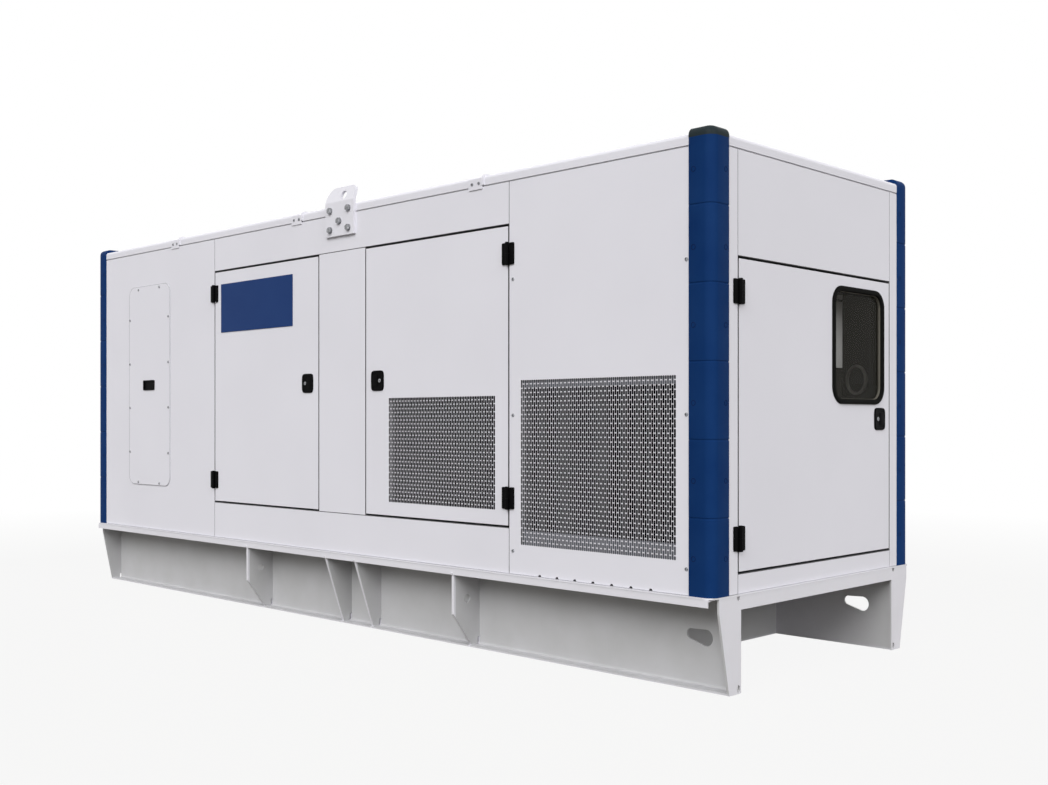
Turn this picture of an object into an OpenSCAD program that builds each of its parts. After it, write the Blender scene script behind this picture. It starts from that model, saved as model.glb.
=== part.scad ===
// Enclosed generator set on a folded-plate base, with three hinged doors.
// Ground level is z = 0, +X runs along the length to the windowed end, and the front faces -Y.

/* [Enclosure] */
// Length over the wall panels
body_l = 5024; // [4800:2:5600]
// Width over the wall panels
body_w = 1602; // [1560:2:1900]
// Height of the base, from the ground to the foot of the panels
base_h = 390; // [360:1:460]
// Thickness of the lined wall panels and doors
wall_t = 50; // [40:1:60]
// Height of the roof's edge
roof_h = 50; // [40:1:70]
// Radius on the roof's upper edge
roof_r = 18; // [8:1:24]
// Width of the line that shows between two fixed panels
seam_w = 4; // [2:0.5:6]
// Depth of that line
seam_depth = 5; // [3:0.5:8]

/* [Corner posts] */
// Width of wall that a corner post takes up on each side
post_w = 110; // [90:1:120]
// How far the post stands proud of the panels
post_proud = 3; // [1:0.5:6]
// Radius on a post's outer corner
post_r = 42; // [40:1:60]
// Wall thickness of the moulded post
post_t = 30; // [20:1:36]
// Number of moulded modules up a post
post_modules = 6; // [4:1:8]
// Height of the dark domed cap
cap_h = 40; // [30:1:50]
// How far the cap stands above the roof
cap_rise = 22; // [10:1:28]
// Radius on the cap's upper edge
cap_r = 24; // [10:1:28]

/* [Front and back] */
// Width of each doorway
door_w = 1033; // [1005:1:1060]
// Width of the pillar between the doorways
pillar_w = 394; // [340:1:460]
// Height of the sill under the doorways
sill_h = 205; // [180:1:230]
// Height of the doorways
door_h = 1364; // [1335:1:1390]
// Height of the header over the doorways
header_h = 191; // [170:1:230]
// Gap beside a door
door_gap = 7; // [6:0.5:9]
// Gap over and under a door
door_gap_z = 10; // [7:0.5:12]

/* [Grilles] */
// Width of the intake grille
intake_w = 857; // [810:1:880]
// Height of the intake grille
intake_h = 735; // [700:1:760]
// Distance from the grille to the corner-post side of its panel
intake_inset = 63; // [56:1:80]
// Distance from the grille to the door side of its panel
intake_side = 73; // [66:1:110]
// Height of the grille above the foot of its panel
intake_rise = 133; // [110:1:150]
// Width of the grille in the door
door_grille_w = 757; // [720:1:780]
// Height of the grille in the door
door_grille_h = 521; // [490:1:550]
// Distance from the door's hinged edge to its grille
door_grille_inset = 90; // [80:1:100]
// Height of the grille above the foot of the doorway
door_grille_rise = 75; // [60:1:90]
// Thickness of the slotted sheet
grille_t = 4; // [3:0.5:6]
// Width of a slot
slot_w = 17; // [12:0.5:18]
// Height of a slot
slot_h = 69; // [60:1:71]
// Distance between columns of slots
slot_pitch_x = 22.5; // [21:0.5:26]
// Distance between slots up a column
slot_pitch_z = 77; // [75:1:90]

/* [Drains] */
// Number of drain notches in the foot of the intake panel
drains = 7; // [5:1:9]
// Radius of a drain notch
drain_r = 9; // [6:0.5:12]
// Distance between drain notches
drain_pitch = 102.5; // [90:0.5:110]
// Distance from the corner post to the first drain notch
drain_inset = 189; // [160:1:220]

/* [Right end] */
// Width of the strip between the front post and the end doorway
end_strip_w = 64; // [58:1:80]
// Width of the strip between the end doorway and the back post
end_back_strip_w = 71; // [60:1:90]
// Height of the sill under the end doorway
end_sill_h = 79; // [70:1:100]
// Height of the header over the end doorway
end_header_h = 422; // [400:1:460]
// Width over the window's rubber seal
window_w = 460; // [410:1:480]
// Height over the window's rubber seal
window_h = 524; // [480:1:560]
// Corner radius of the seal
window_r = 90; // [70:1:100]
// Distance from the window to the doorway's free side
window_side = 64; // [56:1:90]
// Distance from the doorway's head down to the window
window_drop = 54; // [45:1:80]
// Width of the seal that shows
seal_w = 24; // [20:1:30]
// How far the seal stands proud of the door
seal_proud = 10; // [4:0.5:12]
// Width of the seal's lip that laps the door
seal_lap = 14; // [10:1:16]
// Thickness of the glass
glass_t = 6; // [4:0.5:8]

/* [Hinges and latches] */
// Width of a hinge, both leaves
hinge_w = 74; // [60:1:84]
// Height of a hinge
hinge_h = 104; // [90:1:120]
// Thickness of a hinge leaf
leaf_t = 8; // [6:0.5:9]
// Radius of the hinge barrel
barrel_r = 9; // [7:0.5:10]
// Distance of the hinge axis in front of the panels
axis_out = 11; // [11:0.5:13]
// Radius of the hinge pin
pin_r = 4; // [3:0.5:5]
// Height of a front hinge's centre above the foot, or below the head, of its doorway
hinge_inset = 134; // [110:1:160]
// The same for the hinges of the end door
end_hinge_inset = 141; // [110:1:160]
// Width of a latch
latch_w = 98; // [86:1:104]
// Height of a latch
latch_h = 103; // [90:1:115]
// How far a latch stands proud of its door
latch_t = 7; // [6:0.5:12]
// Distance of a latch's centre from the door's free edge
latch_inset = 100; // [90:1:112]
// Distance from the window down to the middle of the end door's latch
end_latch_drop = 66; // [62:1:90]

/* [Access cover and sign] */
// Width of the access cover, as a share of its panel's width
cover_w_share = 0.3805; // [0.34:0.0001:0.42]
// Height of the access cover, as a share of the wall's height
cover_h_share = 0.7205; // [0.68:0.0001:0.76]
// Corner radius of the access cover
cover_r = 60; // [40:1:80]
// Thickness of the access cover
cover_t = 4; // [3:0.5:6]
// Distance from the door-side edge of its panel to the cover, as a share of the panel's width
cover_inset_share = 0.38; // [0.34:0.001:0.41]
// Height of the cover above the foot of its panel, as a share of the wall's height
cover_rise_share = 0.158; // [0.13:0.001:0.17]
// Width of the flush pull
pull_w = 140; // [110:1:160]
// Height of the flush pull
pull_h = 64; // [54:1:74]
// Width of the sign plate
sign_w = 719; // [640:1:760]
// Height of the sign plate
sign_h = 283; // [240:1:310]
// Thickness of the sign plate
sign_t = 3; // [2:0.5:4]
// Distance from the doorway's hinged side to the sign plate
sign_inset = 74; // [70:1:90]
// Distance from the doorway's head down to the sign plate
sign_drop = 83; // [70:1:100]

/* [Roof and lifting] */
// Distance from the middle of the length to the roof joint beside the lifting plates
roof_joint_x = 172; // [140:1:200]
// Length of the second roof section
roof_2_l = 1410; // [1360:1:1460]
// Length of the third roof section
roof_3_l = 1283; // [1240:1:1320]
// Width of a roof clip
clip_w = 90; // [70:1:100]
// Height of a roof clip
clip_h = 50; // [40:1:54]
// Thickness of a roof clip
clip_t = 5; // [3:0.5:6]
// How far a clip reaches below the roof's edge
clip_drop = 11; // [8:1:20]
// Distance from the middle of the length to the middle of a lifting plate
lift_x = 178; // [100:1:193]
// Width of a lifting plate
lift_w = 240; // [220:1:260]
// Thickness of a lifting plate
lift_t = 15; // [12:1:20]
// Height of the bolted part of a lifting plate
lift_plate_h = 178; // [150:1:190]
// How far the bolted part reaches above the roof's lower edge
lift_plate_rise = 65; // [56:1:72]
// Height of the eye tongue above the bolted part
tongue_h = 80; // [79:1:90]
// Lean of the tongue towards the middle, in degrees
tongue_lean = 15; // [5:1:20]
// Radius of the tongue's outer shoulder
tongue_big_r = 74; // [60:1:75]
// Radius of the tongue's inner shoulder
tongue_small_r = 30; // [20:1:40]
// Radius of the lifting eye
eye_r = 24; // [20:0.5:28]
// Height of the eye's centre above the bolted part
eye_rise = 32; // [28:1:40]
// Offset of the eye from the middle of the plate
eye_offset = 27; // [0:1:40]
// Width across the flats of a lifting plate's bolt
bolt_flats = 30; // [24:1:36]
// Height of a bolt's head
bolt_h = 12; // [8:0.5:14]
// Distance from the middle of the plate to its outer bolts
bolt_spread = 77; // [60:1:90]
// Height of the lower bolts above the foot of the plate
bolt_low = 34; // [28:1:40]
// Height of the middle bolt above the foot of the plate
bolt_middle = 76; // [70:1:84]
// Height of the upper bolts above the foot of the plate
bolt_high = 135; // [120:1:140]

/* [Base] */
// How far the deck stands proud of the panels
deck_proud = 11; // [8:1:20]
// Thickness of the deck plate
deck_t = 6; // [5:0.5:10]
// Thickness of the rail's folded plate
rail_t = 8; // [6:0.5:10]
// Distance from the panels back to the rail's web
rail_inset = 163; // [140:1:180]
// Width of the rail's foot flange
foot_w = 61; // [50:1:80]
// Height of the turned-down lip
lip_h = 31; // [24:1:60]
// How far the lip stands back from the deck's edge
lip_back = 2; // [1:0.5:4]
// Thickness of the lip
lip_t = 5; // [4:0.5:7]
// How far the lip ends short of the panels' length
lip_short = 15; // [10:1:25]
// Thickness of the end plates
end_plate_t = 10; // [8:0.5:12]
// Height of an end plate's cross-member
cross_h = 54; // [46:1:80]
// Distance from the panels back to a leg's inner edge
leg_inner = 181; // [175:1:200]
// Distance from the panels back to a leg's outer edge, at the deck
leg_outer_top = 33; // [10:1:40]
// Distance from the panels back to a leg's outer edge, at the ground
leg_outer_foot = 100; // [80:1:110]
// Height at which a leg's outer edge starts to slant
leg_knee = 328; // [300:1:340]
// Distance from the end of the panels to a cross wall
cross_wall_inset = 628; // [560:1:700]
// Distance from the middle of the length to the middle of the gussets
gusset_x = 170; // [140:1:200]
// Distance from the gussets' middle to an inner gusset
gusset_inner = 125; // [110:1:150]
// Distance from the gussets' middle to an outer gusset
gusset_outer = 869; // [800:1:920]
// Thickness of a gusset
gusset_t = 15; // [10:0.5:18]
// Distance from the foot flange's edge back to a gusset
gusset_back = 10; // [4:1:16]
// Height of the outer gussets' knee
gusset_knee = 166; // [140:1:190]
// Radius of the hole in an outer gusset
gusset_hole_r = 20; // [14:1:26]
// Width of the relief at a gusset's inner corner
relief_w = 14; // [10:0.5:20]
// Height of that relief
relief_h = 38; // [28:1:48]
// Radius of a drag slot's large end
drag_big_r = 34; // [30:1:40]
// Radius of a drag slot's small end
drag_small_r = 22; // [18:1:26]
// Distance between the middles of a drag slot's two ends
drag_l = 73; // [64:1:84]
// How far the small end's middle lies above the large one's
drag_rise = 9; // [4:1:14]
// Distance from the end of the panels to the middle of a drag slot's large end
drag_x = 146; // [130:1:170]
// Height of the middle of a drag slot's large end
drag_z = 201; // [180:1:220]

/* [Control cabinet] */
// Width of the control cabinet, as a share of the width over the panels
cabinet_w_share = 0.5618; // [0.45:0.0001:0.6]
// Depth of the control cabinet
cabinet_d = 340; // [260:1:420]
// Height of the control cabinet, as a share of the wall's height
cabinet_h_share = 0.8068; // [0.7:0.0001:0.9]
// Distance from the end wall back to the cabinet's face
cabinet_back = 150; // [100:1:260]
// Distance from the middle of the width to the cabinet's middle, as a share of that width
cabinet_y_share = 0.0512; // [0.03:0.0001:0.14]

/* [Hidden] */

// Colours
pale = [0.86, 0.86, 0.88];
navy = [0.10, 0.22, 0.42];
dark = [0.06, 0.06, 0.07];
steel_grey = [0.60, 0.61, 0.63];
tint = [0.10, 0.12, 0.13, 0.6];

// Overrun of every cut
over = 1;
// Clearance of a hinge pin in its bore, and between the two halves of a barrel
pin_clear = 0.08;
barrel_clear = 0.3;
// Clearance between a hinge leaf and the other half's barrel
leaf_clear = 1.5;
// Clearance of the seal in the door, and of the glass in the seal
seal_clear = 0.3;
// How far a latch's sides, and its head and foot, bow out, as a share of its width
latch_bow_share = 0.065;
// Corner radius of a latch, and the rim and depth of its hollow face
latch_r = 16;
latch_rim = 8;
latch_hollow = 3;
// Radius of the lock cylinder, and its offset away from the free edge as a share of the width
lock_r = 10;
lock_share = 0.2;
// Gap round the latch's paddle, and its height as a share of the latch's height
paddle_gap = 3;
paddle_share = 0.6;
// How much lower a hinge's leaves are than its barrel, at each end
leaf_step = 5;
// Straight sides of a drag slot start this share of the way out to its round ends
slot_side_share = 0.99;
// Height of the hole in a gusset, as a share of the rail's height
gusset_hole_share = 0.62;
// Width and height of the notches at the corners of an end plate, and how far the middle of one
// lies below the deck, or above the ground
corner_slot_w = 20;
corner_slot_h = 28;
corner_slot_drop = 4;
corner_slot_rise = 20;
// Radius and thickness of the washer under a bolt of a lifting plate
washer_r = 18;
washer_t = 3;
// Corner radius, height, rim and floor of the flush pull
pull_r = 8;
pull_proud = 5;
pull_rim = 9;
pull_floor = 2;
// Depth of the glass behind the door's face, and how far the seal grips it
glass_depth = 14;
glass_bite = 5;
// How far the lifting tongue stands in from the sides of its plate
tongue_step = 1.5;
// Smooth circles
$fn = 64;

// Sizes that follow from others
wall_h = sill_h + door_h + header_h;
right_panel_w = intake_inset + intake_w + intake_side;
end_door_w = body_w - 2 * post_w - end_strip_w - end_back_strip_w;
end_door_h = wall_h - end_sill_h - end_header_h;
window_inset = end_door_w - window_w - window_side;
window_rise = end_door_h - window_h - window_drop;
cabinet_w = body_w * cabinet_w_share;
cabinet_h = wall_h * cabinet_h_share;
cabinet_y = body_w * cabinet_y_share;
cover_h = wall_h * cover_h_share;
cover_rise = wall_h * cover_rise_share;

// Places along the length
half_l = body_l / 2;
half_w = body_w / 2;
x_post = half_l - post_w;
x_right_hinge = x_post - right_panel_w;
x_pillar_right = x_right_hinge - door_w;
x_pillar_left = x_pillar_right - pillar_w;
x_left_hinge = x_pillar_left - door_w;
x_roof_2 = -roof_joint_x;
x_roof_1 = x_roof_2 + roof_2_l;
x_roof_3 = x_roof_2 - roof_3_l;
// The access cover on its panel
cover_w = (x_left_hinge + x_post) * cover_w_share;
cover_inset = (x_left_hinge + x_post) * cover_inset_share;
y_post = half_w - post_w;
// Places across the ends, measured from the front
y_end_hinge = -half_w + post_w + end_strip_w;
y_end_free = y_end_hinge + end_door_w;
// Heights
z_wall = base_h;
z_door = z_wall + sill_h;
z_head = z_door + door_h;
z_roof = z_wall + wall_h;
z_end_door = z_wall + end_sill_h;
z_end_head = z_end_door + end_door_h;
z_cap = z_roof + roof_h + cap_rise - cap_h;
z_deck = base_h - deck_t;
z_rail = z_deck - rail_t;
z_lip = z_deck - lip_h;
// Lip of the base rails, from the panels out to its outer and its inner face
lip_out = deck_proud - lip_back;
lip_in = lip_out - lip_t;
// Width of the lifting tongue
tongue_w = lift_w - 2 * tongue_step;

// Mirror copies

module at_back() {
    mirror([0, 1, 0]) children();
}

module at_left() {
    mirror([1, 0, 0]) children();
}

module front_and_back() {
    children();
    at_back() children();
}

module four_corners() {
    front_and_back() children();
    at_left() front_and_back() children();
}

// A child drawn in the XY plane stands up in the XZ plane, its thickness running from the front
// face (y = 0) to the back.
module stand_up(thickness) {
    translate([0, thickness, 0]) rotate([90, 0, 0]) linear_extrude(thickness) children();
}

// Rectangle with rounded corners, lower left corner at the origin
module rounded_rect(w, h, r) {
    translate([r, 0]) square([w - 2 * r, h]);
    translate([0, r]) square([w, h - 2 * r]);
    for (x = [r, w - r], y = [r, h - r]) translate([x, y]) circle(r);
}

// Slot with round ends, centred on the origin
module obround(l, w) {
    square([l - w, w], center = true);
    for (side = [-1, 1]) translate([side * (l - w) / 2, 0]) circle(w / 2);
}

// Lined wall panel on the front plane: a skin that stops short of the seam lines, on a full core
module wall_panel(x0, x1, z0, z1) {
    translate([x0, -half_w + seam_depth, z0]) cube([x1 - x0, wall_t - seam_depth, z1 - z0]);
    translate([x0 + seam_w / 2, -half_w, z0 + seam_w / 2])
        cube([x1 - x0 - seam_w, seam_depth + over, z1 - z0 - seam_w]);
}

// The same on the right end plane
module end_panel(y0, y1, z0, z1) {
    translate([half_l - wall_t, y0, z0]) cube([wall_t - seam_depth, y1 - y0, z1 - z0]);
    translate([half_l - seam_depth - over, y0 + seam_w / 2, z0 + seam_w / 2])
        cube([seam_depth + over, y1 - y0 - seam_w, z1 - z0 - seam_w]);
}

// Slotted sheet: columns of upright slots, every other column half a pitch higher
module slotted_sheet(w, h) {
    columns = floor((w - slot_pitch_x) / slot_pitch_x);
    rows = floor((h - slot_pitch_z / 2) / slot_pitch_z);
    side = (w - (columns - 1) * slot_pitch_x - slot_w) / 2;
    foot = (h - (rows - 1) * slot_pitch_z - slot_h - slot_pitch_z / 2) / 2;
    stand_up(grille_t) difference() {
        square([w, h]);
        for (i = [0 : columns - 1], j = [0 : rows - 1])
            translate([side + i * slot_pitch_x, foot + (j + (i % 2) / 2) * slot_pitch_z])
                square([slot_w, slot_h]);
    }
}

// Hinge in its own frame: the axis is the Z axis, the wall's face is at y = axis_out, and the
// door lies on the +X side

// Both leaves as one rounded plate, split by the barrel's room
module hinge_leaf(side) {
    inner = barrel_r + leaf_clear;
    translate([0, axis_out - leaf_t, 0]) intersection() {
        translate([-hinge_w / 2, 0, -hinge_h / 2 + leaf_step]) stand_up(leaf_t)
            rounded_rect(hinge_w, hinge_h - 2 * leaf_step, leaf_t);
        translate([side > 0 ? inner : -hinge_w, -over, -hinge_h])
            cube([hinge_w - inner, leaf_t + 2 * over, 2 * hinge_h]);
    }
}

// Arm from a leaf to its half of the barrel
module hinge_arm(side, z0, z1) {
    reach = barrel_r + leaf_clear + leaf_t / 2;
    translate([side > 0 ? 0 : -reach, axis_out - leaf_t, z0]) cube([reach, leaf_t - over, z1 - z0]);
    translate([0, 0, z0]) cylinder(r = barrel_r, h = z1 - z0);
}

// Fixed half: the lower barrel and the pin
module hinge_fixed_half() {
    hinge_leaf(-1);
    hinge_arm(-1, -hinge_h / 2, -barrel_clear / 2);
    translate([0, 0, -hinge_h / 2]) cylinder(r = pin_r, h = hinge_h - leaf_t);
}

// Moving half: the upper barrel, bored for the pin
module hinge_door_half() {
    hinge_leaf(1);
    difference() {
        hinge_arm(1, barrel_clear / 2, hinge_h / 2);
        translate([0, 0, -over]) cylinder(r = pin_r + pin_clear, h = hinge_h / 2 + over - leaf_t / 2);
    }
}

// Latch outline: a rounded rectangle whose four sides bow out, centred on the origin
module latch_outline() {
    bow = latch_w * latch_bow_share;
    side_r = (latch_h * latch_h / 4 + bow * bow) / (2 * bow);
    head_r = (latch_w * latch_w / 4 + bow * bow) / (2 * bow);
    intersection() {
        translate([-latch_w / 2, -latch_h / 2]) rounded_rect(latch_w, latch_h, latch_r);
        translate([latch_w / 2 - side_r, 0]) circle(side_r);
        translate([side_r - latch_w / 2, 0]) circle(side_r);
        translate([0, latch_h / 2 - head_r]) circle(head_r);
        translate([0, head_r - latch_h / 2]) circle(head_r);
    }
}

// Latch: a bowed body with a hollow face, a lock cylinder in it and a paddle towards the free edge
module latch(free) {
    hollow_w = latch_w - 2 * latch_rim;
    hollow_h = latch_h - 2 * latch_rim;
    lock_x = -free * lock_share * latch_w;
    paddle_w = hollow_w / 2 + lock_share * latch_w - lock_r - 2 * paddle_gap;
    paddle_h = hollow_h * paddle_share;
    paddle_x = free * (hollow_w / 2 - paddle_gap - paddle_w / 2);
    translate([0, -latch_t, 0]) {
        difference() {
            stand_up(latch_t) latch_outline();
            translate([-hollow_w / 2, -over, -hollow_h / 2]) stand_up(latch_hollow + over)
                rounded_rect(hollow_w, hollow_h, latch_r - latch_rim);
        }
        translate([lock_x, 0, 0]) stand_up(latch_hollow + over) circle(lock_r);
        translate([paddle_x - paddle_w / 2, 0, -paddle_h / 2]) stand_up(latch_hollow + over)
            rounded_rect(paddle_w, paddle_h, paddle_gap);
    }
}

// Places of the hinges and latches

module front_left_hinge_places() {
    for (z = [z_door + hinge_inset, z_head - hinge_inset])
        translate([x_left_hinge + door_gap / 2, -half_w - axis_out, z]) children();
}

module front_right_hinge_places() {
    for (z = [z_door + hinge_inset, z_head - hinge_inset])
        translate([x_right_hinge - door_gap / 2, -half_w - axis_out, z]) mirror([1, 0, 0]) children();
}

module end_hinge_places() {
    for (z = [z_end_door + end_hinge_inset, z_end_head - end_hinge_inset])
        translate([half_l + axis_out, y_end_hinge + door_gap / 2, z]) rotate([0, 0, 90]) children();
}

module front_left_latch_place() {
    translate([x_pillar_left - latch_inset, -half_w, z_door + door_h / 2]) children();
}

module front_right_latch_place() {
    translate([x_pillar_right + latch_inset, -half_w, z_door + door_h / 2]) children();
}

module end_latch_place() {
    translate([half_l, y_end_free - latch_inset, z_end_door + window_rise - end_latch_drop])
        rotate([0, 0, 90]) children();
}

// Base

module base_deck() {
    l = body_l + 2 * deck_proud;
    w = body_w + 2 * deck_proud;
    color(pale) translate([-l / 2, -w / 2, z_deck]) linear_extrude(deck_t)
        rounded_rect(l, w, post_r + deck_proud);
}

// Front rail: web, foot flange, top flange and turned-down lip, with a drag slot near the right end
module rail_shape() {
    y_web = -half_w + rail_inset;
    y_lip = -half_w - lip_out;
    difference() {
        union() {
            translate([-half_l, y_web, 0]) cube([body_l, rail_t, z_deck]);
            translate([-half_l, y_web - foot_w, 0]) cube([body_l, foot_w + over, rail_t]);
            translate([-half_l + lip_short, y_lip, z_rail])
                cube([body_l - 2 * lip_short, rail_inset + lip_out + over, rail_t]);
            translate([-half_l + lip_short, y_lip, z_lip])
                cube([body_l - 2 * lip_short, lip_t, lip_h]);
        }
        translate([half_l - drag_x, y_web - over, drag_z]) stand_up(rail_t + 2 * over) drag_slot();
    }
}

// Drag slot: a large round end at the origin, a small one towards the middle of the length
module drag_slot() {
    span = sqrt(drag_l * drag_l + drag_rise * drag_rise);
    lean = atan2(drag_rise, -drag_l);
    open = acos((drag_big_r - drag_small_r) / span);
    circle(drag_big_r);
    translate([-drag_l, drag_rise]) circle(drag_small_r);
    polygon([for (k = [[0, 1], [0, -1], [1, -1], [1, 1]]) [
        -k[0] * drag_l + cos(lean + k[1] * open) * slot_side_share * (k[0] > 0 ? drag_small_r : drag_big_r),
        k[0] * drag_rise + sin(lean + k[1] * open) * slot_side_share * (k[0] > 0 ? drag_small_r : drag_big_r)
    ]]);
}

module front_base_rail() {
    color(pale) rail_shape();
}

module back_base_rail() {
    color(pale) at_back() rail_shape();
}

// End plate: a cross-member and two legs that taper to the ground
module end_plate() {
    foot = half_w - leg_outer_foot;
    top = half_w - leg_outer_top;
    inner = half_w - leg_inner;
    y_web = half_w - rail_inset;
    translate([half_l, 0, 0]) rotate([90, 0, 90]) linear_extrude(end_plate_t) difference() {
        polygon([
            [-foot, 0], [-inner, 0], [-inner, z_deck - cross_h], [inner, z_deck - cross_h], [inner, 0],
            [foot, 0], [top, leg_knee], [top, z_deck], [-top, z_deck], [-top, leg_knee]
        ]);
        for (side = [-1, 1], z = [z_deck - corner_slot_drop, corner_slot_rise])
            translate([side * y_web, z]) rotate(90) obround(corner_slot_h, corner_slot_w);
    }
}

module right_base_end() {
    color(pale) end_plate();
}

module left_base_end() {
    color(pale) at_left() end_plate();
}

// Gusset in the front bay of the base, drawn as depth from the panels and height
module gusset(straight) {
    y_web = rail_inset;
    y_foot = rail_inset - foot_w + gusset_back;
    translate([-gusset_t / 2, -half_w, 0]) rotate([90, 0, 90]) linear_extrude(gusset_t) difference() {
        polygon([
            [y_web, rail_t], [y_foot, rail_t], [-lip_in, straight ? gusset_knee : z_lip],
            [-lip_in, z_rail], [y_web, z_rail]
        ]);
        translate([y_web - relief_w, rail_t - over])
            square([relief_w + over, relief_h - relief_w / 2 + over]);
        translate([y_web - relief_w / 2, rail_t + relief_h - relief_w / 2]) circle(relief_w / 2);
        if (straight) translate([rail_inset / 2, z_rail * gusset_hole_share]) circle(gusset_hole_r);
    }
}

module base_gussets() {
    color(pale) front_and_back() for (side = [-1, 1]) {
        translate([gusset_x + side * gusset_inner, 0, 0]) gusset(false);
        translate([gusset_x + side * gusset_outer, 0, 0]) gusset(true);
    }
}

module base_cross_walls() {
    inner_w = body_w - 2 * (rail_inset + rail_t);
    color(pale) for (side = [-1, 1])
        translate([side * (half_l - cross_wall_inset) - rail_t / 2, -inner_w / 2, 0])
            cube([rail_t, inner_w, z_deck]);
}

// Corner posts and caps

// A child drawn in the first quadrant stands at the front right corner, its origin where the walls end
module post_place(z) {
    translate([x_post, -y_post, z]) mirror([0, 1, 0]) children();
}

// Post from above: a square with a round outer corner, reaching the given way past the origin
module post_outline(size, r, past) {
    translate([-past, -past]) {
        square([size + past, size + past - r]);
        square([size + past - r, size + past]);
    }
    translate([size - r, size - r]) circle(r);
}

// Front right post: an angle with a round outer corner, and a groove between modules
module post_shape() {
    h = z_cap - z_wall;
    outer = post_w + post_proud;
    module_h = (h + cap_h) / post_modules;
    groove = post_proud / 2;
    post_place(z_wall) difference() {
        linear_extrude(h) difference() {
            post_outline(outer, post_r, 0);
            post_outline(outer - post_t, post_r - post_t, over);
        }
        for (k = [1 : post_modules - 1])
            translate([0, 0, k * module_h - seam_w / 2]) linear_extrude(seam_w) difference() {
                post_outline(outer + over, post_r + over, over);
                post_outline(outer - groove, post_r - groove, 2 * over);
            }
    }
}

module front_right_post() {
    color(navy) post_shape();
}

module front_left_post() {
    color(navy) at_left() post_shape();
}

module back_right_post() {
    color(navy) at_back() post_shape();
}

module back_left_post() {
    color(navy) at_left() at_back() post_shape();
}

// Edge of a cap, cut across: square below, rounded above
module cap_edge() {
    square([post_r, cap_h - cap_r]);
    square([post_r - cap_r, cap_h]);
    translate([post_r - cap_r, cap_h - cap_r]) intersection() {
        circle(cap_r);
        square([cap_r, cap_r]);
    }
}

// Dark dome that closes a post: a block, the edge along both sides and the edge turned round the corner
module cap_shape() {
    side = post_w + post_proud - post_r;
    post_place(z_cap) {
        cube([side, side, cap_h]);
        translate([side, side, 0]) {
            rotate_extrude(angle = 90) cap_edge();
            rotate([90, 0, 0]) linear_extrude(side) cap_edge();
        }
        translate([0, side, 0]) rotate([90, 0, 90]) linear_extrude(side) cap_edge();
    }
}

module post_caps() {
    color(dark) four_corners() cap_shape();
}

// Roof

// Roof seen along one of its sides: square below, rounded above
module roof_outline(w) {
    h = roof_h - seam_w;
    translate([-w / 2, 0]) square([w, h - roof_r]);
    translate([-w / 2 + roof_r, 0]) square([w - 2 * roof_r, h]);
    for (side = [-1, 1]) translate([side * (w / 2 - roof_r), h - roof_r]) circle(roof_r);
}

// Section of roof between two places along the length: a rounded shell with a line under it and
// at each joint, on a lower core
module roof_section(x0, x1) {
    at_start = x0 <= -half_l;
    at_end = x1 >= half_l;
    shell_0 = at_start ? x0 - over : x0 + seam_w / 2;
    shell_1 = at_end ? x1 + over : x1 - seam_w / 2;
    core_0 = at_start ? x0 + seam_depth : x0;
    core_1 = at_end ? x1 - seam_depth : x1;
    difference() {
        union() {
            intersection() {
                translate([shell_0, 0, z_roof + seam_w]) rotate([90, 0, 90])
                    linear_extrude(shell_1 - shell_0) roof_outline(body_w);
                translate([0, half_w + over, z_roof + seam_w]) rotate([90, 0, 0])
                    linear_extrude(body_w + 2 * over) roof_outline(body_l);
            }
            translate([core_0, -half_w + seam_depth, z_roof])
                cube([core_1 - core_0, body_w - 2 * seam_depth, roof_h - roof_r]);
        }
        four_corners() translate([x_post, -half_w - over, z_roof - over])
            cube([post_w + over, post_w + over, roof_h + 2 * over]);
    }
}

module roof_section_1() {
    color(pale) roof_section(x_roof_1, half_l);
}

module roof_section_2() {
    color(pale) roof_section(x_roof_2, x_roof_1);
}

module roof_section_3() {
    color(pale) roof_section(x_roof_3, x_roof_2);
}

module roof_section_4() {
    color(pale) roof_section(-half_l, x_roof_3);
}

module roof_clips() {
    color(pale) front_and_back() for (x = [x_roof_1, x_roof_2, x_roof_3])
        translate([x - clip_w, -half_w - clip_t, z_roof - clip_drop]) cube([clip_w, clip_t, clip_h]);
}

// Lifting plate: a bolted plate and a tongue that leans in over the roof, bored for a shackle
module lifting_plate() {
    z_bend = z_roof + lift_plate_rise;
    translate([lift_x, -half_w - lift_t, z_bend]) {
        translate([-lift_w / 2, 0, -lift_plate_h]) cube([lift_w, lift_t, lift_plate_h]);
        rotate([-tongue_lean, 0, 0]) difference() {
            translate([-tongue_w / 2, 0, 0]) stand_up(lift_t) tongue_outline();
            translate([eye_offset, -over, eye_rise]) rotate([-90, 0, 0])
                cylinder(r = eye_r, h = lift_t + 2 * over);
        }
    }
}

// Tongue seen from the front: a large round shoulder on one side, a small one on the other
module tongue_outline() {
    translate([tongue_big_r, 0]) square([tongue_w - tongue_big_r - tongue_small_r, tongue_h]);
    square([tongue_w, tongue_h - tongue_big_r]);
    translate([tongue_big_r, 0]) square([tongue_w - tongue_big_r, tongue_h - tongue_small_r]);
    translate([tongue_w - tongue_small_r, tongue_h - tongue_small_r]) circle(tongue_small_r);
    intersection() {
        translate([tongue_big_r, tongue_h - tongue_big_r]) circle(tongue_big_r);
        square([tongue_w, tongue_h]);
    }
}

module lifting_plates() {
    color(pale) front_and_back() lifting_plate();
}

// Bolt of a lifting plate: a hexagon head on a washer, seen from the front
module lifting_bolt() {
    r = bolt_flats / sqrt(3);
    rotate([90, 0, 0]) {
        cylinder(r = washer_r, h = washer_t);
        linear_extrude(washer_t + bolt_h) polygon([for (k = [0 : 5]) [r * cos(60 * k), r * sin(60 * k)]]);
    }
}

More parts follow.
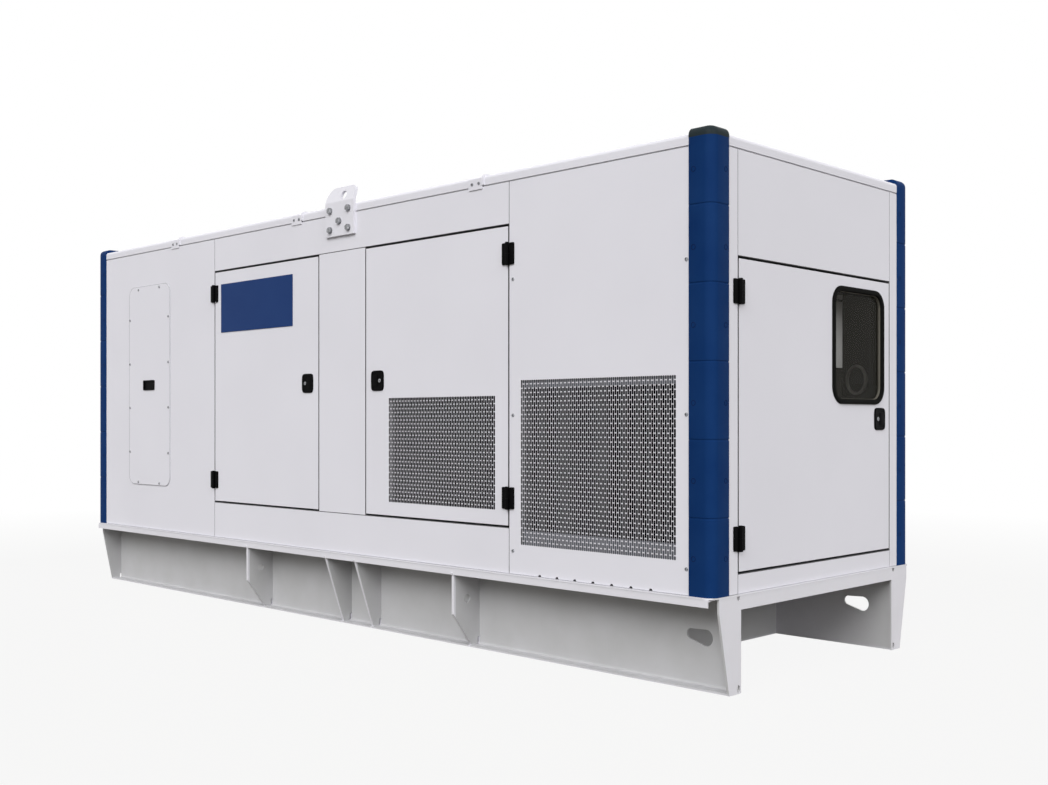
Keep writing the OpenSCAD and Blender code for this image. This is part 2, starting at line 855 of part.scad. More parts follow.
module lifting_bolts() {
    z_foot = z_roof + lift_plate_rise - lift_plate_h;
    color(steel_grey) front_and_back() translate([lift_x, -half_w - lift_t, z_foot]) {
        translate([0, 0, bolt_middle]) lifting_bolt();
        for (side = [-1, 1], z = [bolt_low, bolt_high]) translate([side * bolt_spread, 0, z]) lifting_bolt();
    }
}

// Front and back walls

module left_panel_shape() {
    wall_panel(-x_post, x_left_hinge, z_wall, z_roof);
}

module header_shape() {
    wall_panel(x_left_hinge, x_right_hinge, z_head, z_roof);
}

module pillar_shape() {
    wall_panel(x_pillar_left, x_pillar_right, z_door, z_head);
}

module sill_shape() {
    wall_panel(x_left_hinge, x_right_hinge, z_wall, z_door);
}

// Panel beside the corner post, open behind its grille
module right_panel_shape() {
    difference() {
        wall_panel(x_right_hinge, x_post, z_wall, z_roof);
        translate([x_post - intake_inset - intake_w, -half_w - over, z_wall + intake_rise])
            cube([intake_w, wall_t + 2 * over, intake_h]);
        for (k = [0 : drains - 1])
            translate([x_post - drain_inset - k * drain_pitch, -half_w - over, z_wall + seam_w / 2])
                rotate([-90, 0, 0]) cylinder(r = drain_r, h = wall_t / 2 + over);
    }
}

module intake_grille_shape() {
    translate([x_post - intake_inset - intake_w, -half_w, z_wall + intake_rise])
        slotted_sheet(intake_w, intake_h);
}

module front_left_panel() {
    color(pale) left_panel_shape();
}

module front_header() {
    color(pale) header_shape();
}

module front_pillar() {
    color(pale) pillar_shape();
}

module front_sill() {
    color(pale) sill_shape();
}

module front_right_panel() {
    color(pale) right_panel_shape();
}

module front_intake_grille() {
    color(pale) intake_grille_shape();
}

module back_left_panel() {
    color(pale) at_back() left_panel_shape();
}

module back_header() {
    color(pale) at_back() header_shape();
}

module back_pillar() {
    color(pale) at_back() pillar_shape();
}

module back_sill() {
    color(pale) at_back() sill_shape();
}

module back_right_panel() {
    color(pale) at_back() right_panel_shape();
}

module back_intake_grille() {
    color(pale) at_back() intake_grille_shape();
}

// Access cover with a flush pull in its middle
module access_cover_place() {
    translate([x_left_hinge - cover_inset - cover_w, -half_w - cover_t, z_wall + cover_rise]) children();
}

module access_covers() {
    color(pale) front_and_back() access_cover_place() stand_up(cover_t) difference() {
        rounded_rect(cover_w, cover_h, cover_r);
        translate([(cover_w - pull_w) / 2, (cover_h - pull_h) / 2]) rounded_rect(pull_w, pull_h, pull_r);
    }
}

// Flush pull: a shallow tray with a rim
module cover_pulls() {
    color(dark) front_and_back() access_cover_place()
        translate([(cover_w - pull_w) / 2, 0, (cover_h - pull_h) / 2]) difference() {
            translate([seal_clear, -pull_proud, seal_clear]) stand_up(cover_t + pull_proud)
                rounded_rect(pull_w - 2 * seal_clear, pull_h - 2 * seal_clear, pull_r);
            translate([pull_rim, -pull_proud - over, pull_rim])
                stand_up(cover_t + pull_proud + over - pull_floor)
                    rounded_rect(pull_w - 2 * pull_rim, pull_h - 2 * pull_rim, pull_r / 2);
        }
}

// Ends

module end_strips() {
    color(pale) for (flip = [0, 1]) mirror([flip, 0, 0]) {
        end_panel(-y_post, y_end_hinge, z_wall, z_roof);
        end_panel(y_end_free, y_post, z_wall, z_roof);
    }
}

module end_headers() {
    color(pale) for (flip = [0, 1]) mirror([flip, 0, 0])
        end_panel(y_end_hinge, y_end_free, z_end_head, z_roof);
}

module end_sills() {
    color(pale) for (flip = [0, 1]) mirror([flip, 0, 0])
        end_panel(y_end_hinge, y_end_free, z_wall, z_end_door);
}

module left_end_panel() {
    color(pale) at_left() end_panel(y_end_hinge, y_end_free, z_end_door, z_end_head);
}

// Doors

// Door slab between two places along the length, inset in its doorway
module door_slab(x0, x1) {
    translate([x0 + door_gap, -half_w, z_door + door_gap_z])
        cube([x1 - x0 - 2 * door_gap, wall_t, door_h - 2 * door_gap_z]);
}

module left_door_shape() {
    door_slab(x_left_hinge, x_pillar_left);
}

// Door with an opening behind its grille
module right_door_shape() {
    difference() {
        door_slab(x_pillar_right, x_right_hinge);
        translate([
            x_right_hinge - door_grille_inset - door_grille_w, -half_w - over, z_door + door_grille_rise
        ]) cube([door_grille_w, wall_t + 2 * over, door_grille_h]);
    }
}

module door_grille_shape() {
    translate([x_right_hinge - door_grille_inset - door_grille_w, -half_w, z_door + door_grille_rise])
        slotted_sheet(door_grille_w, door_grille_h);
}

module front_left_door() {
    color(pale) left_door_shape();
}

module front_left_door_fittings() {
    color(dark) {
        front_left_hinge_places() hinge_door_half();
        front_left_latch_place() latch(1);
    }
}

module sign_plate() {
    color(navy) translate([x_left_hinge + sign_inset, -half_w - sign_t, z_head - sign_drop - sign_h])
        cube([sign_w, sign_t, sign_h]);
}

module front_right_door() {
    color(pale) right_door_shape();
}

module front_right_door_grille() {
    color(pale) door_grille_shape();
}

module front_right_door_fittings() {
    color(dark) {
        front_right_hinge_places() hinge_door_half();
        front_right_latch_place() latch(-1);
    }
}

module front_hinges() {
    color(dark) {
        front_left_hinge_places() hinge_fixed_half();
        front_right_hinge_places() hinge_fixed_half();
    }
}

module back_doors() {
    color(pale) at_back() {
        left_door_shape();
        right_door_shape();
    }
}

module back_door_grille() {
    color(pale) at_back() door_grille_shape();
}

module back_fittings() {
    color(dark) at_back() {
        front_left_hinge_places() hinge_fixed_half();
        front_left_hinge_places() hinge_door_half();
        front_right_hinge_places() hinge_fixed_half();
        front_right_hinge_places() hinge_door_half();
        front_left_latch_place() latch(1);
        front_right_latch_place() latch(-1);
    }
}

// A child drawn flat stands on the end plane, seen from the right end, at the window's corner
module window_place(depth, thickness) {
    translate([half_l - depth, y_end_hinge + window_inset, z_end_door + window_rise])
        rotate([90, 0, 90]) linear_extrude(thickness) children();
}

// Window outline set in from the seal's outer edge
module window_outline(inset) {
    translate([inset, inset]) rounded_rect(window_w - 2 * inset, window_h - 2 * inset, window_r - inset);
}

module end_door() {
    color(pale) difference() {
        translate([half_l - wall_t, y_end_hinge + door_gap, z_end_door + door_gap_z])
            cube([wall_t, end_door_w - 2 * door_gap, end_door_h - 2 * door_gap_z]);
        window_place(wall_t + over, wall_t + 2 * over) window_outline(seal_lap);
    }
}

// Rubber seal: a lip on the door's face, a neck through the door and a groove for the glass
module window_seal() {
    color(dark) difference() {
        union() {
            window_place(0, seal_proud) window_outline(0);
            window_place(wall_t, wall_t) window_outline(seal_lap + seal_clear);
        }
        window_place(wall_t + over, wall_t + seal_proud + 2 * over) window_outline(seal_w);
        window_place(glass_depth + seal_clear, glass_t + 2 * seal_clear) window_outline(seal_w - glass_bite);
    }
}

module window_glass() {
    color(tint) window_place(glass_depth, glass_t) window_outline(seal_w - glass_bite + seal_clear);
}

module end_door_fittings() {
    color(dark) {
        end_hinge_places() hinge_door_half();
        end_latch_place() latch(1);
    }
}

module end_hinges() {
    color(dark) end_hinge_places() hinge_fixed_half();
}

// Floor-standing control cabinet behind the window
module control_cabinet() {
    color(steel_grey)
        translate([half_l - wall_t - cabinet_back - cabinet_d, cabinet_y - cabinet_w / 2, z_wall])
            cube([cabinet_d, cabinet_w, cabinet_h]);
}

base_deck();
front_base_rail();
back_base_rail();
right_base_end();
left_base_end();
base_gussets();
base_cross_walls();
front_right_post();
front_left_post();
back_right_post();
back_left_post();
post_caps();
roof_section_1();
roof_section_2();
roof_section_3();
roof_section_4();
roof_clips();
lifting_plates();
lifting_bolts();
front_left_panel();
front_header();
front_pillar();
front_sill();
front_right_panel();
front_intake_grille();
front_hinges();
access_covers();
cover_pulls();
end_strips();
end_headers();
end_sills();
end_hinges();
left_end_panel();
control_cabinet();
back_left_panel();
back_header();
back_pillar();
back_sill();
back_right_panel();
back_intake_grille();
back_doors();
back_door_grille();
back_fittings();
front_left_door();
front_left_door_fittings();
sign_plate();
front_right_door();
front_right_door_grille();
front_right_door_fittings();
end_door();
window_seal();
window_glass();
end_door_fittings();
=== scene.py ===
# %% [markdown]
# # An enclosed generator set
# A pale sheet-metal enclosure on a folded base, with dark blue corner posts, three hinged doors,
# two slotted grilles and a window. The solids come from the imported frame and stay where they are.
# This script adds what a solid model is too coarse for: fine slots, screws, latches, hinges, moulded
# posts, the rubber seal, and a finish for every surface.

# %% Load the frame
import math
import bpy
import numpy as np
from mathutils import Matrix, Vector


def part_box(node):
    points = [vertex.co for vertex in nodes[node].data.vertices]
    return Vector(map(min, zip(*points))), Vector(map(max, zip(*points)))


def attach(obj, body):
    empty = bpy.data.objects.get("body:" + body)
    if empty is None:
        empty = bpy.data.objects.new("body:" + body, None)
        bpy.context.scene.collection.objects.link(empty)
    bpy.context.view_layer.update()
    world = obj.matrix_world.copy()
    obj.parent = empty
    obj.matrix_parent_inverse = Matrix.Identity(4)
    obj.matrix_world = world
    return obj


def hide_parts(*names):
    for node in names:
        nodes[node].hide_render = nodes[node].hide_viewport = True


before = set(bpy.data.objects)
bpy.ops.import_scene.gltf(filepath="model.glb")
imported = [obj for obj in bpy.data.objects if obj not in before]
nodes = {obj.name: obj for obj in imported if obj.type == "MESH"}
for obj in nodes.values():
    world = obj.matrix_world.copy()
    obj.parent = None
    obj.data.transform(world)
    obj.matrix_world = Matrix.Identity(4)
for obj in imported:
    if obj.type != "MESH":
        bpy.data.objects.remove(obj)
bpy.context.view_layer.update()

# %% [markdown]
# ## Camera
# The photograph was taken from a person's chest height, with the camera level. So upright edges stay
# upright, and the horizon lies a little under the middle of the picture. In Blender a level camera
# with a small upward shift does the same. The focal length is worked out from the image's width.

# %% Camera
IMAGE_W, FOCAL_PX, HORIZON_DROP_PX = 1048, 1201.23, 28.5
SENSOR_MM = 36
eye = np.array([5.2157, -4.6141, 1.0745])
ahead = np.array([-0.6977, 0.7164, 0.0])
ahead /= np.linalg.norm(ahead)
up = np.array([0.0, 0.0, 1.0])
lens = bpy.data.cameras.new("camera")
lens.sensor_width = SENSOR_MM
lens.lens = SENSOR_MM * FOCAL_PX / IMAGE_W
lens.shift_y = HORIZON_DROP_PX / IMAGE_W
camera = bpy.data.objects.new("camera", lens)
bpy.context.scene.collection.objects.link(camera)
turn = np.eye(4)
turn[:3, 0], turn[:3, 1], turn[:3, 2], turn[:3, 3] = np.cross(ahead, up), up, -ahead, eye
camera.matrix_world = Matrix(turn.tolist())
bpy.context.scene.camera = camera
print("lens", round(lens.lens, 2), "mm")

# %% [markdown]
# ## Shapes
# A shape here is a pair: an array of points and a list of faces. Small fittings are all made in one
# way: an outline drawn in (across, up) is carried outwards in steps, each step a little smaller or
# higher than the one before, and the rings are joined by faces. A step list that turns a quarter
# circle gives a rounded edge. `set_down` then turns (across, up, out) into X, Y and Z on a wall.

# %% Rings, outlines and joining
def loft(rings):
    """Joins rings of points, shape (steps, n, 3), by quads, and closes both ends with flat faces."""
    steps, n, _ = rings.shape
    i, j = np.meshgrid(np.arange(steps - 1), np.arange(n), indexing="ij")
    a, b = i * n + j, i * n + (j + 1) % n
    quads = np.stack([a, b, b + n, a + n], -1).reshape(-1, 4).tolist()
    ends = [list(range((steps - 1) * n, steps * n)), list(range(n))[::-1]]
    return rings.reshape(-1, 3), quads + ends


def tube(rings):
    """Joins rings as loft does, but the last ring meets the first, as round a frame."""
    steps, n, _ = rings.shape
    i, j = np.meshgrid(np.arange(steps), np.arange(n), indexing="ij")
    k = (i + 1) % steps
    quads = np.stack([i * n + j, i * n + (j + 1) % n, k * n + (j + 1) % n, k * n + j], -1)
    return rings.reshape(-1, 3), quads.reshape(-1, 4).tolist()


def step_rings(outline, steps):
    """Rings of an outline (n, 2): each (inset, height) step moves it inwards along its normal and up."""
    along = np.roll(outline, -1, 0) - np.roll(outline, 1, 0)
    inward = np.c_[-along[:, 1], along[:, 0]] / np.linalg.norm(along, axis=1, keepdims=True)
    steps = np.asarray(steps, float)
    flat = outline[None] + steps[:, None, :1] * inward[None]
    height = np.broadcast_to(steps[:, None, 1:], flat.shape[:2] + (1,))
    return np.concatenate([flat, height], -1)


def circle(r, n=24):
    """Points at radius r, turning anticlockwise."""
    a = np.arange(n) * 2 * np.pi / n
    return np.c_[r * np.cos(a), r * np.sin(a)]


def rounded(w, h, r, n=5):
    """A rectangle about the origin whose corners are quarter circles of radius r."""
    a = np.linspace(0, np.pi / 2, n)
    quarter = np.c_[r * np.cos(a), r * np.sin(a)]
    turns = [np.array([[c, s], [-s, c]]) for c, s in ((1, 0), (0, 1), (-1, 0), (0, -1))]
    middles = np.array([[1, 1], [-1, 1], [-1, -1], [1, -1]]) * [w / 2 - r, h / 2 - r]
    return np.concatenate([quarter @ t + m for t, m in zip(turns, middles)])


def bowed(w, h, power=4.6, n=72):
    """A superellipse: |x/a|^p + |y/b|^p = 1, a rectangle whose sides bow out and corners are round."""
    a = np.arange(n) * 2 * np.pi / n
    c, s = np.cos(a), np.sin(a)
    return np.c_[w / 2 * np.sign(c) * np.abs(c) ** (2 / power), h / 2 * np.sign(s) * np.abs(s) ** (2 / power)]


def hexagon(flats, n=36):
    """A hexagon in polar form: the radius is half the flats over the cosine of the angle from a flat."""
    a = np.arange(n) * 2 * np.pi / n
    r = flats / 2 / np.cos((a + np.pi / 6) % (np.pi / 3) - np.pi / 6)
    return np.c_[r * np.cos(a), r * np.sin(a)]


def round_over(height, radius, sink=0.0, n=4):
    """Steps straight up the side from -sink, then a quarter circle over the edge."""
    a = np.linspace(0, np.pi / 2, n + 1)
    return np.vstack([[[0, -sink]], np.c_[radius * (1 - np.cos(a)), height - radius * (1 - np.sin(a))]])


def join(*shapes):
    """One shape from several: the faces of each are numbered on from the points before it."""
    starts = np.cumsum([0] + [len(p) for p, _ in shapes[:-1]])
    faces = [[v + int(s) for v in f] for s, (_, fs) in zip(starts, shapes) for f in fs]
    return np.concatenate([p for p, _ in shapes]), faces


def moved(shape, across=0.0, upward=0.0, out=0.0):
    """The same shape a little further across, up or out."""
    return shape[0] + [across, upward, out], shape[1]


# %% Walls to set shapes down on
def wall(origin, across, upward, out):
    """A plane's origin and its three directions, as rows."""
    return np.array(origin, float), np.array([across, upward, out], float)


front_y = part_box("front_left_panel")[0].y
back_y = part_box("back_left_panel")[1].y
end_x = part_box("end_headers")[1].x
FRONT = wall((0, front_y, 0), (1, 0, 0), (0, 0, 1), (0, -1, 0))
BACK = wall((0, back_y, 0), (1, 0, 0), (0, 0, 1), (0, 1, 0))
RIGHT_END = wall((end_x, 0, 0), (0, 1, 0), (0, 0, 1), (1, 0, 0))


def set_down(shape, on):
    """Points times the wall's directions, plus its origin. A mirrored wall turns the faces round."""
    points, faces = shape
    origin, directions = on
    if np.linalg.det(directions) < 0:
        faces = [f[::-1] for f in faces]
    return origin + points @ directions, faces


def add_piece(name, shape, body, finish, replaces=(), crease=30):
    """Puts a shape into a mesh object that rides on a body. Edges sharper than crease stay sharp."""
    points, faces = shape
    mesh = bpy.data.meshes.new(name)
    mesh.from_pydata(points.tolist(), [], faces)
    mesh.materials.append(finish)
    mesh.shade_smooth()
    mesh.set_sharp_from_angle(angle=math.radians(crease))
    made = bpy.data.objects.new(name, mesh)
    bpy.context.scene.collection.objects.link(made)
    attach(made, body)
    if replaces:
        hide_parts(*replaces)
    print(f"{name}: {len(points)} points, {len(faces)} faces, on {body}")


print("front", round(front_y, 4), "back", round(back_y, 4), "end", round(end_x, 4))

# %% [markdown]
# ## Finishes
# Every finish is worked out from Object coordinates, so it stays put when a door opens. A small class
# wraps a shader socket: sums on it add Math nodes, so a mask is written as plain arithmetic.

# %% Sums on sockets
class Wire:
    """A shader socket. a + b, a - b, a * b and a ** b each add one Math node."""

    def __init__(self, tree, socket):
        self.tree, self.socket = tree, socket

    def node(self, kind, settings, sockets, out=0):
        """Adds any node: its settings first, then a value or a wire for each named socket."""
        made = self.tree.nodes.new(kind)
        for name, value in settings.items():
            setattr(made, name, value)
        for name, value in sockets.items():
            if isinstance(value, Wire):
                self.tree.links.new(value.socket, made.inputs[name])
            else:
                made.inputs[name].default_value = value
        return Wire(self.tree, made.outputs[out])

    def sum(self, operation, a, b=0.0):
        """One Math node."""
        return self.node("ShaderNodeMath", {"operation": operation}, {0: a, 1: b})

    def __add__(self, other):
        return self.sum("ADD", self, other)

    __radd__ = __add__

    def __sub__(self, other):
        return self.sum("SUBTRACT", self, other)

    def __rsub__(self, other):
        return self.sum("SUBTRACT", other, self)

    def __mul__(self, other):
        return self.sum("MULTIPLY", self, other)

    __rmul__ = __mul__

    def __pow__(self, other):
        return self.sum("POWER", self, other)

    def size(self):
        return self.sum("ABSOLUTE", self)

    def below(self, edge):
        """1 under the edge, 0 over it."""
        return self.sum("LESS_THAN", self, edge)

    def ramp(self, low, high):
        """0 at low and under, 1 at high and over, straight between."""
        return self.node("ShaderNodeMapRange", {}, {0: self, 1: low, 2: high, 3: 0.0, 4: 1.0})

    def blend(self, first, second):
        """The first colour where this is 0, the second where it is 1."""
        mix = {"data_type": "RGBA"}
        return self.node("ShaderNodeMix", mix, {0: self, 6: first, 7: second}, 2)

    def parts(self):
        """X, Y and Z of a vector, as three wires."""
        made = self.node("ShaderNodeSeparateXYZ", {}, {0: self})
        return [Wire(self.tree, made.socket.node.outputs[k]) for k in range(3)]

    def noise(self, scale, detail=3.0):
        return self.node("ShaderNodeTexNoise", {}, {"Vector": self, "Scale": scale, "Detail": detail})

    def bump(self, height, depth, strength=1.0):
        return self.node("ShaderNodeBump", {}, {"Height": height, "Distance": depth, "Strength": strength})


def rgb(r, g, b):
    """A colour on the screen, 0 to 255, as the linear light that Blender works in."""
    c = np.array([r, g, b]) / 255
    return (*np.where(c > 0.04045, ((c + 0.055) / 1.055) ** 2.4, c / 12.92).tolist(), 1.0)


def start_finish(name, **plain):
    """A new material with plain values on its shader's sockets, and its Object coordinates."""
    made = bpy.data.materials.new(name)
    made.use_nodes = True
    tree = made.node_tree
    shader = tree.nodes["Principled BSDF"]
    for socket, value in plain.items():
        shader.inputs[socket.replace("_", " ")].default_value = value
    spot = Wire(tree, tree.nodes.new("ShaderNodeTexCoord").outputs["Object"])
    return made, shader, spot


def feed(shader, **wires):
    """Links wires to the shader's sockets."""
    for socket, wire in wires.items():
        wire.tree.links.new(wire.socket, shader.inputs[socket.replace("_", " ")])


# %% [markdown]
# ### Pale paint
# The panels are powder coated: almost white with a cold tinge, hardly shiny, with the faint orange
# peel that powder leaves. Inside, walls and doors carry dark foam. The edges in the gaps round the doors
# are darkened as painted shade, and painted shade lies in the hollows of the base. Masks from the
# coordinates find these places, so the same finish serves both sides of a door.

# %% Pale paint
# The room inside, from the middle outwards and from its floor to its roof, and the door edges round it.
INNER_X, INNER_Y, INNER_Z, RIM = 2.4625, 0.7515, (0.3905, 2.1505), 0.0483
# The hollows of the base that are darkened as painted shade: up to its ends, from lip to web, between the
# cross walls, and the open ends.
DEEP_X, DEEP_Y, WEB_INNER_Y = 2.5215, (0.790, 0.797), (0.632, 0.635)
CROSS_Y, CROSS_Z, OPEN_X = 0.6285, 0.365, (2.10, 2.50)
# The gussets' front edges are left out of the painted shade, as the foot's edge is.
EDGE_HALF = 0.0072
GUSSET_X, KNEE_Z, FOOT_Z = (-0.699, 0.045, 0.295, 1.039), 0.170, (-0.002, 0.012)
bright_edges = list(zip(GUSSET_X, (KNEE_Z, INNER_Z[0], INNER_Z[0], KNEE_Z)))
# The third and fourth colours are painted shade: for the base's hollows and for the door edges in the gaps.
FOAM, DIRT, HOLLOW_SHADE, GAP_SHADE = rgb(44, 44, 46), rgb(150, 147, 140), rgb(118, 121, 109), rgb(104, 104, 106)


def pale_paint(name, colour, grime, hollow_shade=0.0, edges=()):
    """Cloudy paint, dirt that grows towards the floor, painted shade in the base's hollows and in the door
    gaps, and foam inside.
    """
    made, shader, spot = start_finish(name, IOR=1.45, Specular_IOR_Level=0.15)
    x, y, z = spot.parts()
    room = z.below(INNER_Z[1]) * (1 - z.below(INNER_Z[0]))
    inside = x.size().below(INNER_X) * y.size().below(INNER_Y) * room
    rim = x.size().below(INNER_X + RIM) * y.size().below(INNER_Y + RIM) * room
    cloud = spot.noise(1.7, 2.0).ramp(0.3, 0.7)
    paint = cloud.blend(rgb(*(c - 2 for c in colour)), rgb(*(c + 1 for c in colour)))
    low = (1 - z.ramp(0.0, 0.55)) * spot.noise(9.0, 5.0).ramp(0.35, 0.75) * grime
    paint = low.blend(paint, DIRT)
    # Painted shade: the base's bays, cross walls and open ends are darkened in the colour, with some noise in
    # its depth; the gussets' front edges and the foot keep the plain paint.
    outside_web, between_webs = y.size().ramp(*WEB_INNER_Y), y.size().below(CROSS_Y)
    bay = (1 - y.size().ramp(*DEEP_Y)) * outside_web
    cross = between_webs * z.below(CROSS_Z)
    hollow = (1 - outside_web) * (1 - between_webs) * x.size().ramp(*OPEN_X)
    deep = (bay + cross + hollow) * x.size().below(DEEP_X) * z.below(INNER_Z[0]) * z.ramp(*FOOT_Z)
    for edge_x, edge_top in edges:
        deep = deep * (1 - (x - edge_x).size().below(EDGE_HALF) * z.below(edge_top))
    paint = (deep * hollow_shade * (0.8 + 0.4 * spot.noise(5.0, 4.0))).blend(paint, HOLLOW_SHADE)
    # Painted shade: the door edges round the gaps are darkened in the colour.
    paint = rim.blend(paint, GAP_SHADE)
    feed(shader, Base_Color=inside.blend(paint, FOAM))
    feed(shader, Roughness=0.46 + 0.08 * spot.noise(38.0) + 0.4 * inside)
    peel = spot.noise(420.0, 1.0)
    cells = spot.node("ShaderNodeTexVoronoi", {}, {"Vector": spot, "Scale": 48.0})
    feed(shader, Normal=spot.bump(peel * (1 - inside) * 0.12 + cells * inside * 1.2, 0.0015, 0.5))
    return made


panel_paint = pale_paint("panel_paint", (217, 216, 223), 0.03)
base_paint = pale_paint("base_paint", (216, 215, 221), 0.10, 0.41, bright_edges)
print("paint made")

# %% [markdown]
# ### Blue mouldings, black fittings, rubber and steel
# The posts are through-coloured mouldings with a fine grain. Hinges and latches are smooth black
# plastic. The seal is dull rubber. Screws are plated steel with a fine turned grain.

# %% Mouldings, fittings, rubber and steel
def moulded(name, colour, roughness, grain, depth, specular=0.12, shift=6):
    """A plastic: two near colours in a soft cloud, and a grain of fine noise in its height."""
    made, shader, spot = start_finish(name, Specular_IOR_Level=specular)
    cloud = spot.noise(6.0, 4.0).ramp(0.3, 0.7)
    low, high = (tuple(max(c + s, 0) for c in colour) for s in (-shift / 2, shift / 2))
    feed(shader, Base_Color=cloud.blend(rgb(*low), rgb(*high)))
    feed(shader, Roughness=roughness + 0.1 * spot.noise(60.0))
    feed(shader, Normal=spot.bump(spot.noise(grain, 2.0), depth, 0.35))
    return made


post_blue = moulded("post_blue", (15, 47, 94), 0.45, 900.0, 0.0004, 0.03)
sign_blue = moulded("sign_blue", (18, 50, 102), 0.34, 1400.0, 0.0001, 0.08, 3)
cap_dark = moulded("cap_dark", (36, 44, 47), 0.42, 700.0, 0.0004, 0.06)
fitting_black = moulded("fitting_black", (9, 9, 10), 0.34, 1200.0, 0.0001, 0.02, 3)
seal_rubber = moulded("seal_rubber", (15, 15, 14), 0.62, 500.0, 0.0005, 0.03, 4)
filler_rubber = moulded("filler_rubber", (96, 93, 85), 0.6, 500.0, 0.0004, 0.15, 6)
foam_dark = moulded("foam_dark", (15, 15, 16), 0.9, 160.0, 0.004, 0.04, 4)
# Dark grey for the covers' foot strips and top edge lines: partly a gasket's colour, partly painted shade.
gasket_shade_grey = moulded("gasket_shade_grey", (96, 96, 99), 0.7, 500.0, 0.0003, 0.05, 6)
# The intake frame bars' grey is darker than their paint, as painted shade for their place behind the slotted
# sheet.
frame_grey = moulded("frame_grey", (92, 94, 100), 0.6, 420.0, 0.0004, 0.1, 6)
cabinet_grey = moulded("cabinet_grey", (46, 45, 42), 0.5, 420.0, 0.0004, 0.1, 6)
ring_grey = moulded("ring_grey", (146, 144, 137), 0.5, 420.0, 0.0004, 0.1, 6)
facia_grey = moulded("facia_grey", (240, 240, 238), 0.5, 420.0, 0.0003, 0.2, 6)


def plated(name):
    """A plated metal: a fine mottle in its colour and its roughness, and a finer grain in its height."""
    made, shader, spot = start_finish(name, Metallic=1.0)
    mottle = spot.noise(120.0, 3.0).ramp(0.3, 0.7)
    feed(shader, Base_Color=mottle.blend(rgb(120, 121, 124), rgb(160, 161, 164)))
    feed(shader, Roughness=0.32 + 0.16 * spot.noise(240.0))
    feed(shader, Normal=spot.bump(spot.noise(1500.0, 2.0), 0.0002, 0.3))
    return made


steel = plated("plated_steel")


def tinted_glass(name):
    """A dark pane whose two faces together let three fifths of the light through, with a faint haze."""
    made, shader, spot = start_finish(name, Specular_IOR_Level=0.10)
    haze = spot.noise(3.0, 3.0).ramp(0.3, 0.7)
    feed(shader, Base_Color=haze.blend(rgb(50, 49, 43), rgb(56, 54, 48)))
    feed(shader, Roughness=0.03 + 0.02 * spot.noise(14.0))
    feed(shader, Alpha=0.21 + 0.02 * haze)
    return made


dark_glass = tinted_glass("dark_glass")
print("finishes made")

# %% [markdown]
# ### The solids take their finish
# Each node of the frame keeps its mesh and only gets a better material.

# %% Finishes on the frame
base_nodes = ("base_deck", "front_base_rail", "back_base_rail", "right_base_end", "left_base_end",
              "base_gussets", "base_cross_walls")
by_name = {n: base_paint for n in base_nodes}
by_name.update({n: fitting_black for n in nodes if n.endswith(("hinges", "fittings", "pulls"))})
by_name.update({n: post_blue for n in nodes if n.endswith("post")})
by_name.update(post_caps=cap_dark, sign_plate=sign_blue, window_seal=seal_rubber, window_glass=dark_glass,
               control_cabinet=cabinet_grey, lifting_bolts=steel)
for node_name, node in nodes.items():
    node.data.materials.clear()
    node.data.materials.append(by_name.get(node_name, panel_paint))
print("finished", len(nodes), "nodes")

# %% [markdown]
# ## Corner posts
# A post is an angle with flat sides and a well rounded corner. It stands a little proud of the panels,
# in six modules with a fine line between them. The outline seen from above is carried up the post, and
# it shrinks a little at each line. It is drawn once, for the corner at +X and +Y, and set down at all
# four with mirrored directions.

# %% Corner posts
post_low, post_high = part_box("front_right_post")
POST_W, POST_R, POST_T, POST_EDGE = post_high.x - post_low.x, 0.042, 0.030, 0.0015
LINE_W, LINE_DEPTH, MODULES = 0.0022, 0.0022, 6
corner_x, corner_y = post_low.x, -post_high.y
post_foot, post_head = post_low.z, post_high.z
cap_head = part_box("post_caps")[1].z
module_h = (cap_head - post_foot) / MODULES


def corner_path(size, r, edge=0.0, n=17):
    """Up one flat side, round a quarter circle of radius r and along the other side, ends eased by edge."""
    a = np.linspace(0, np.pi / 2, n)
    arc = size - r + r * np.c_[np.cos(a), np.sin(a)]
    start = np.array([[size - edge, 0], [size - 0.3 * edge, 0.3 * edge], [size, edge]])
    return np.concatenate([start, arc, start[::-1, ::-1]])


def carried_up(rings, heights):
    """Flat rings, shape (steps, n, 2), brought to the post's corner and each lifted to its height."""
    flat = rings + [corner_x, corner_y]
    return loft(np.concatenate([flat, np.broadcast_to(heights[:, None, None], flat.shape[:2] + (1,))], -1))


def post_shape():
    """Rings up the post: the outer path less the line's dip, then the inner path backwards."""
    joints = post_foot + module_h * np.arange(1, MODULES)
    near_joint = LINE_W * np.array([-2, -1, 1, 2])
    z = np.concatenate([[post_foot], np.ravel(joints[:, None] + near_joint), [post_head]])
    dip = np.concatenate([[0], np.tile([0, 1, 1, 0], MODULES - 1), [0]]) * LINE_DEPTH
    inner = corner_path(POST_W - POST_T, POST_R - POST_T)[2:-2][::-1]
    ring = np.stack([np.concatenate([corner_path(POST_W - d, POST_R - d, POST_EDGE), inner]) for d in dip])
    return carried_up(ring, z)


CORNERS = {"front_right": (1, -1), "front_left": (-1, -1), "back_right": (1, 1), "back_left": (-1, 1)}
corner_wall = {n: wall((0, 0, 0), (sx, 0, 0), (0, sy, 0), (0, 0, 1)) for n, (sx, sy) in CORNERS.items()}
for corner_name, on in corner_wall.items():
    add_piece(f"{corner_name}_moulding", set_down(post_shape(), on), "housing", post_blue,
              [f"{corner_name}_post"])

# %% [markdown]
# ### Post caps
# A dome closes each post. The near one is dark, and the others are blue like their posts. A cap has the
# post's outline. It keeps its size up the side and then draws in along a quarter circle.

# %% Post caps
cap_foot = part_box("post_caps")[0].z
CAP_ROUND = min(0.032, cap_head - cap_foot - 0.002)


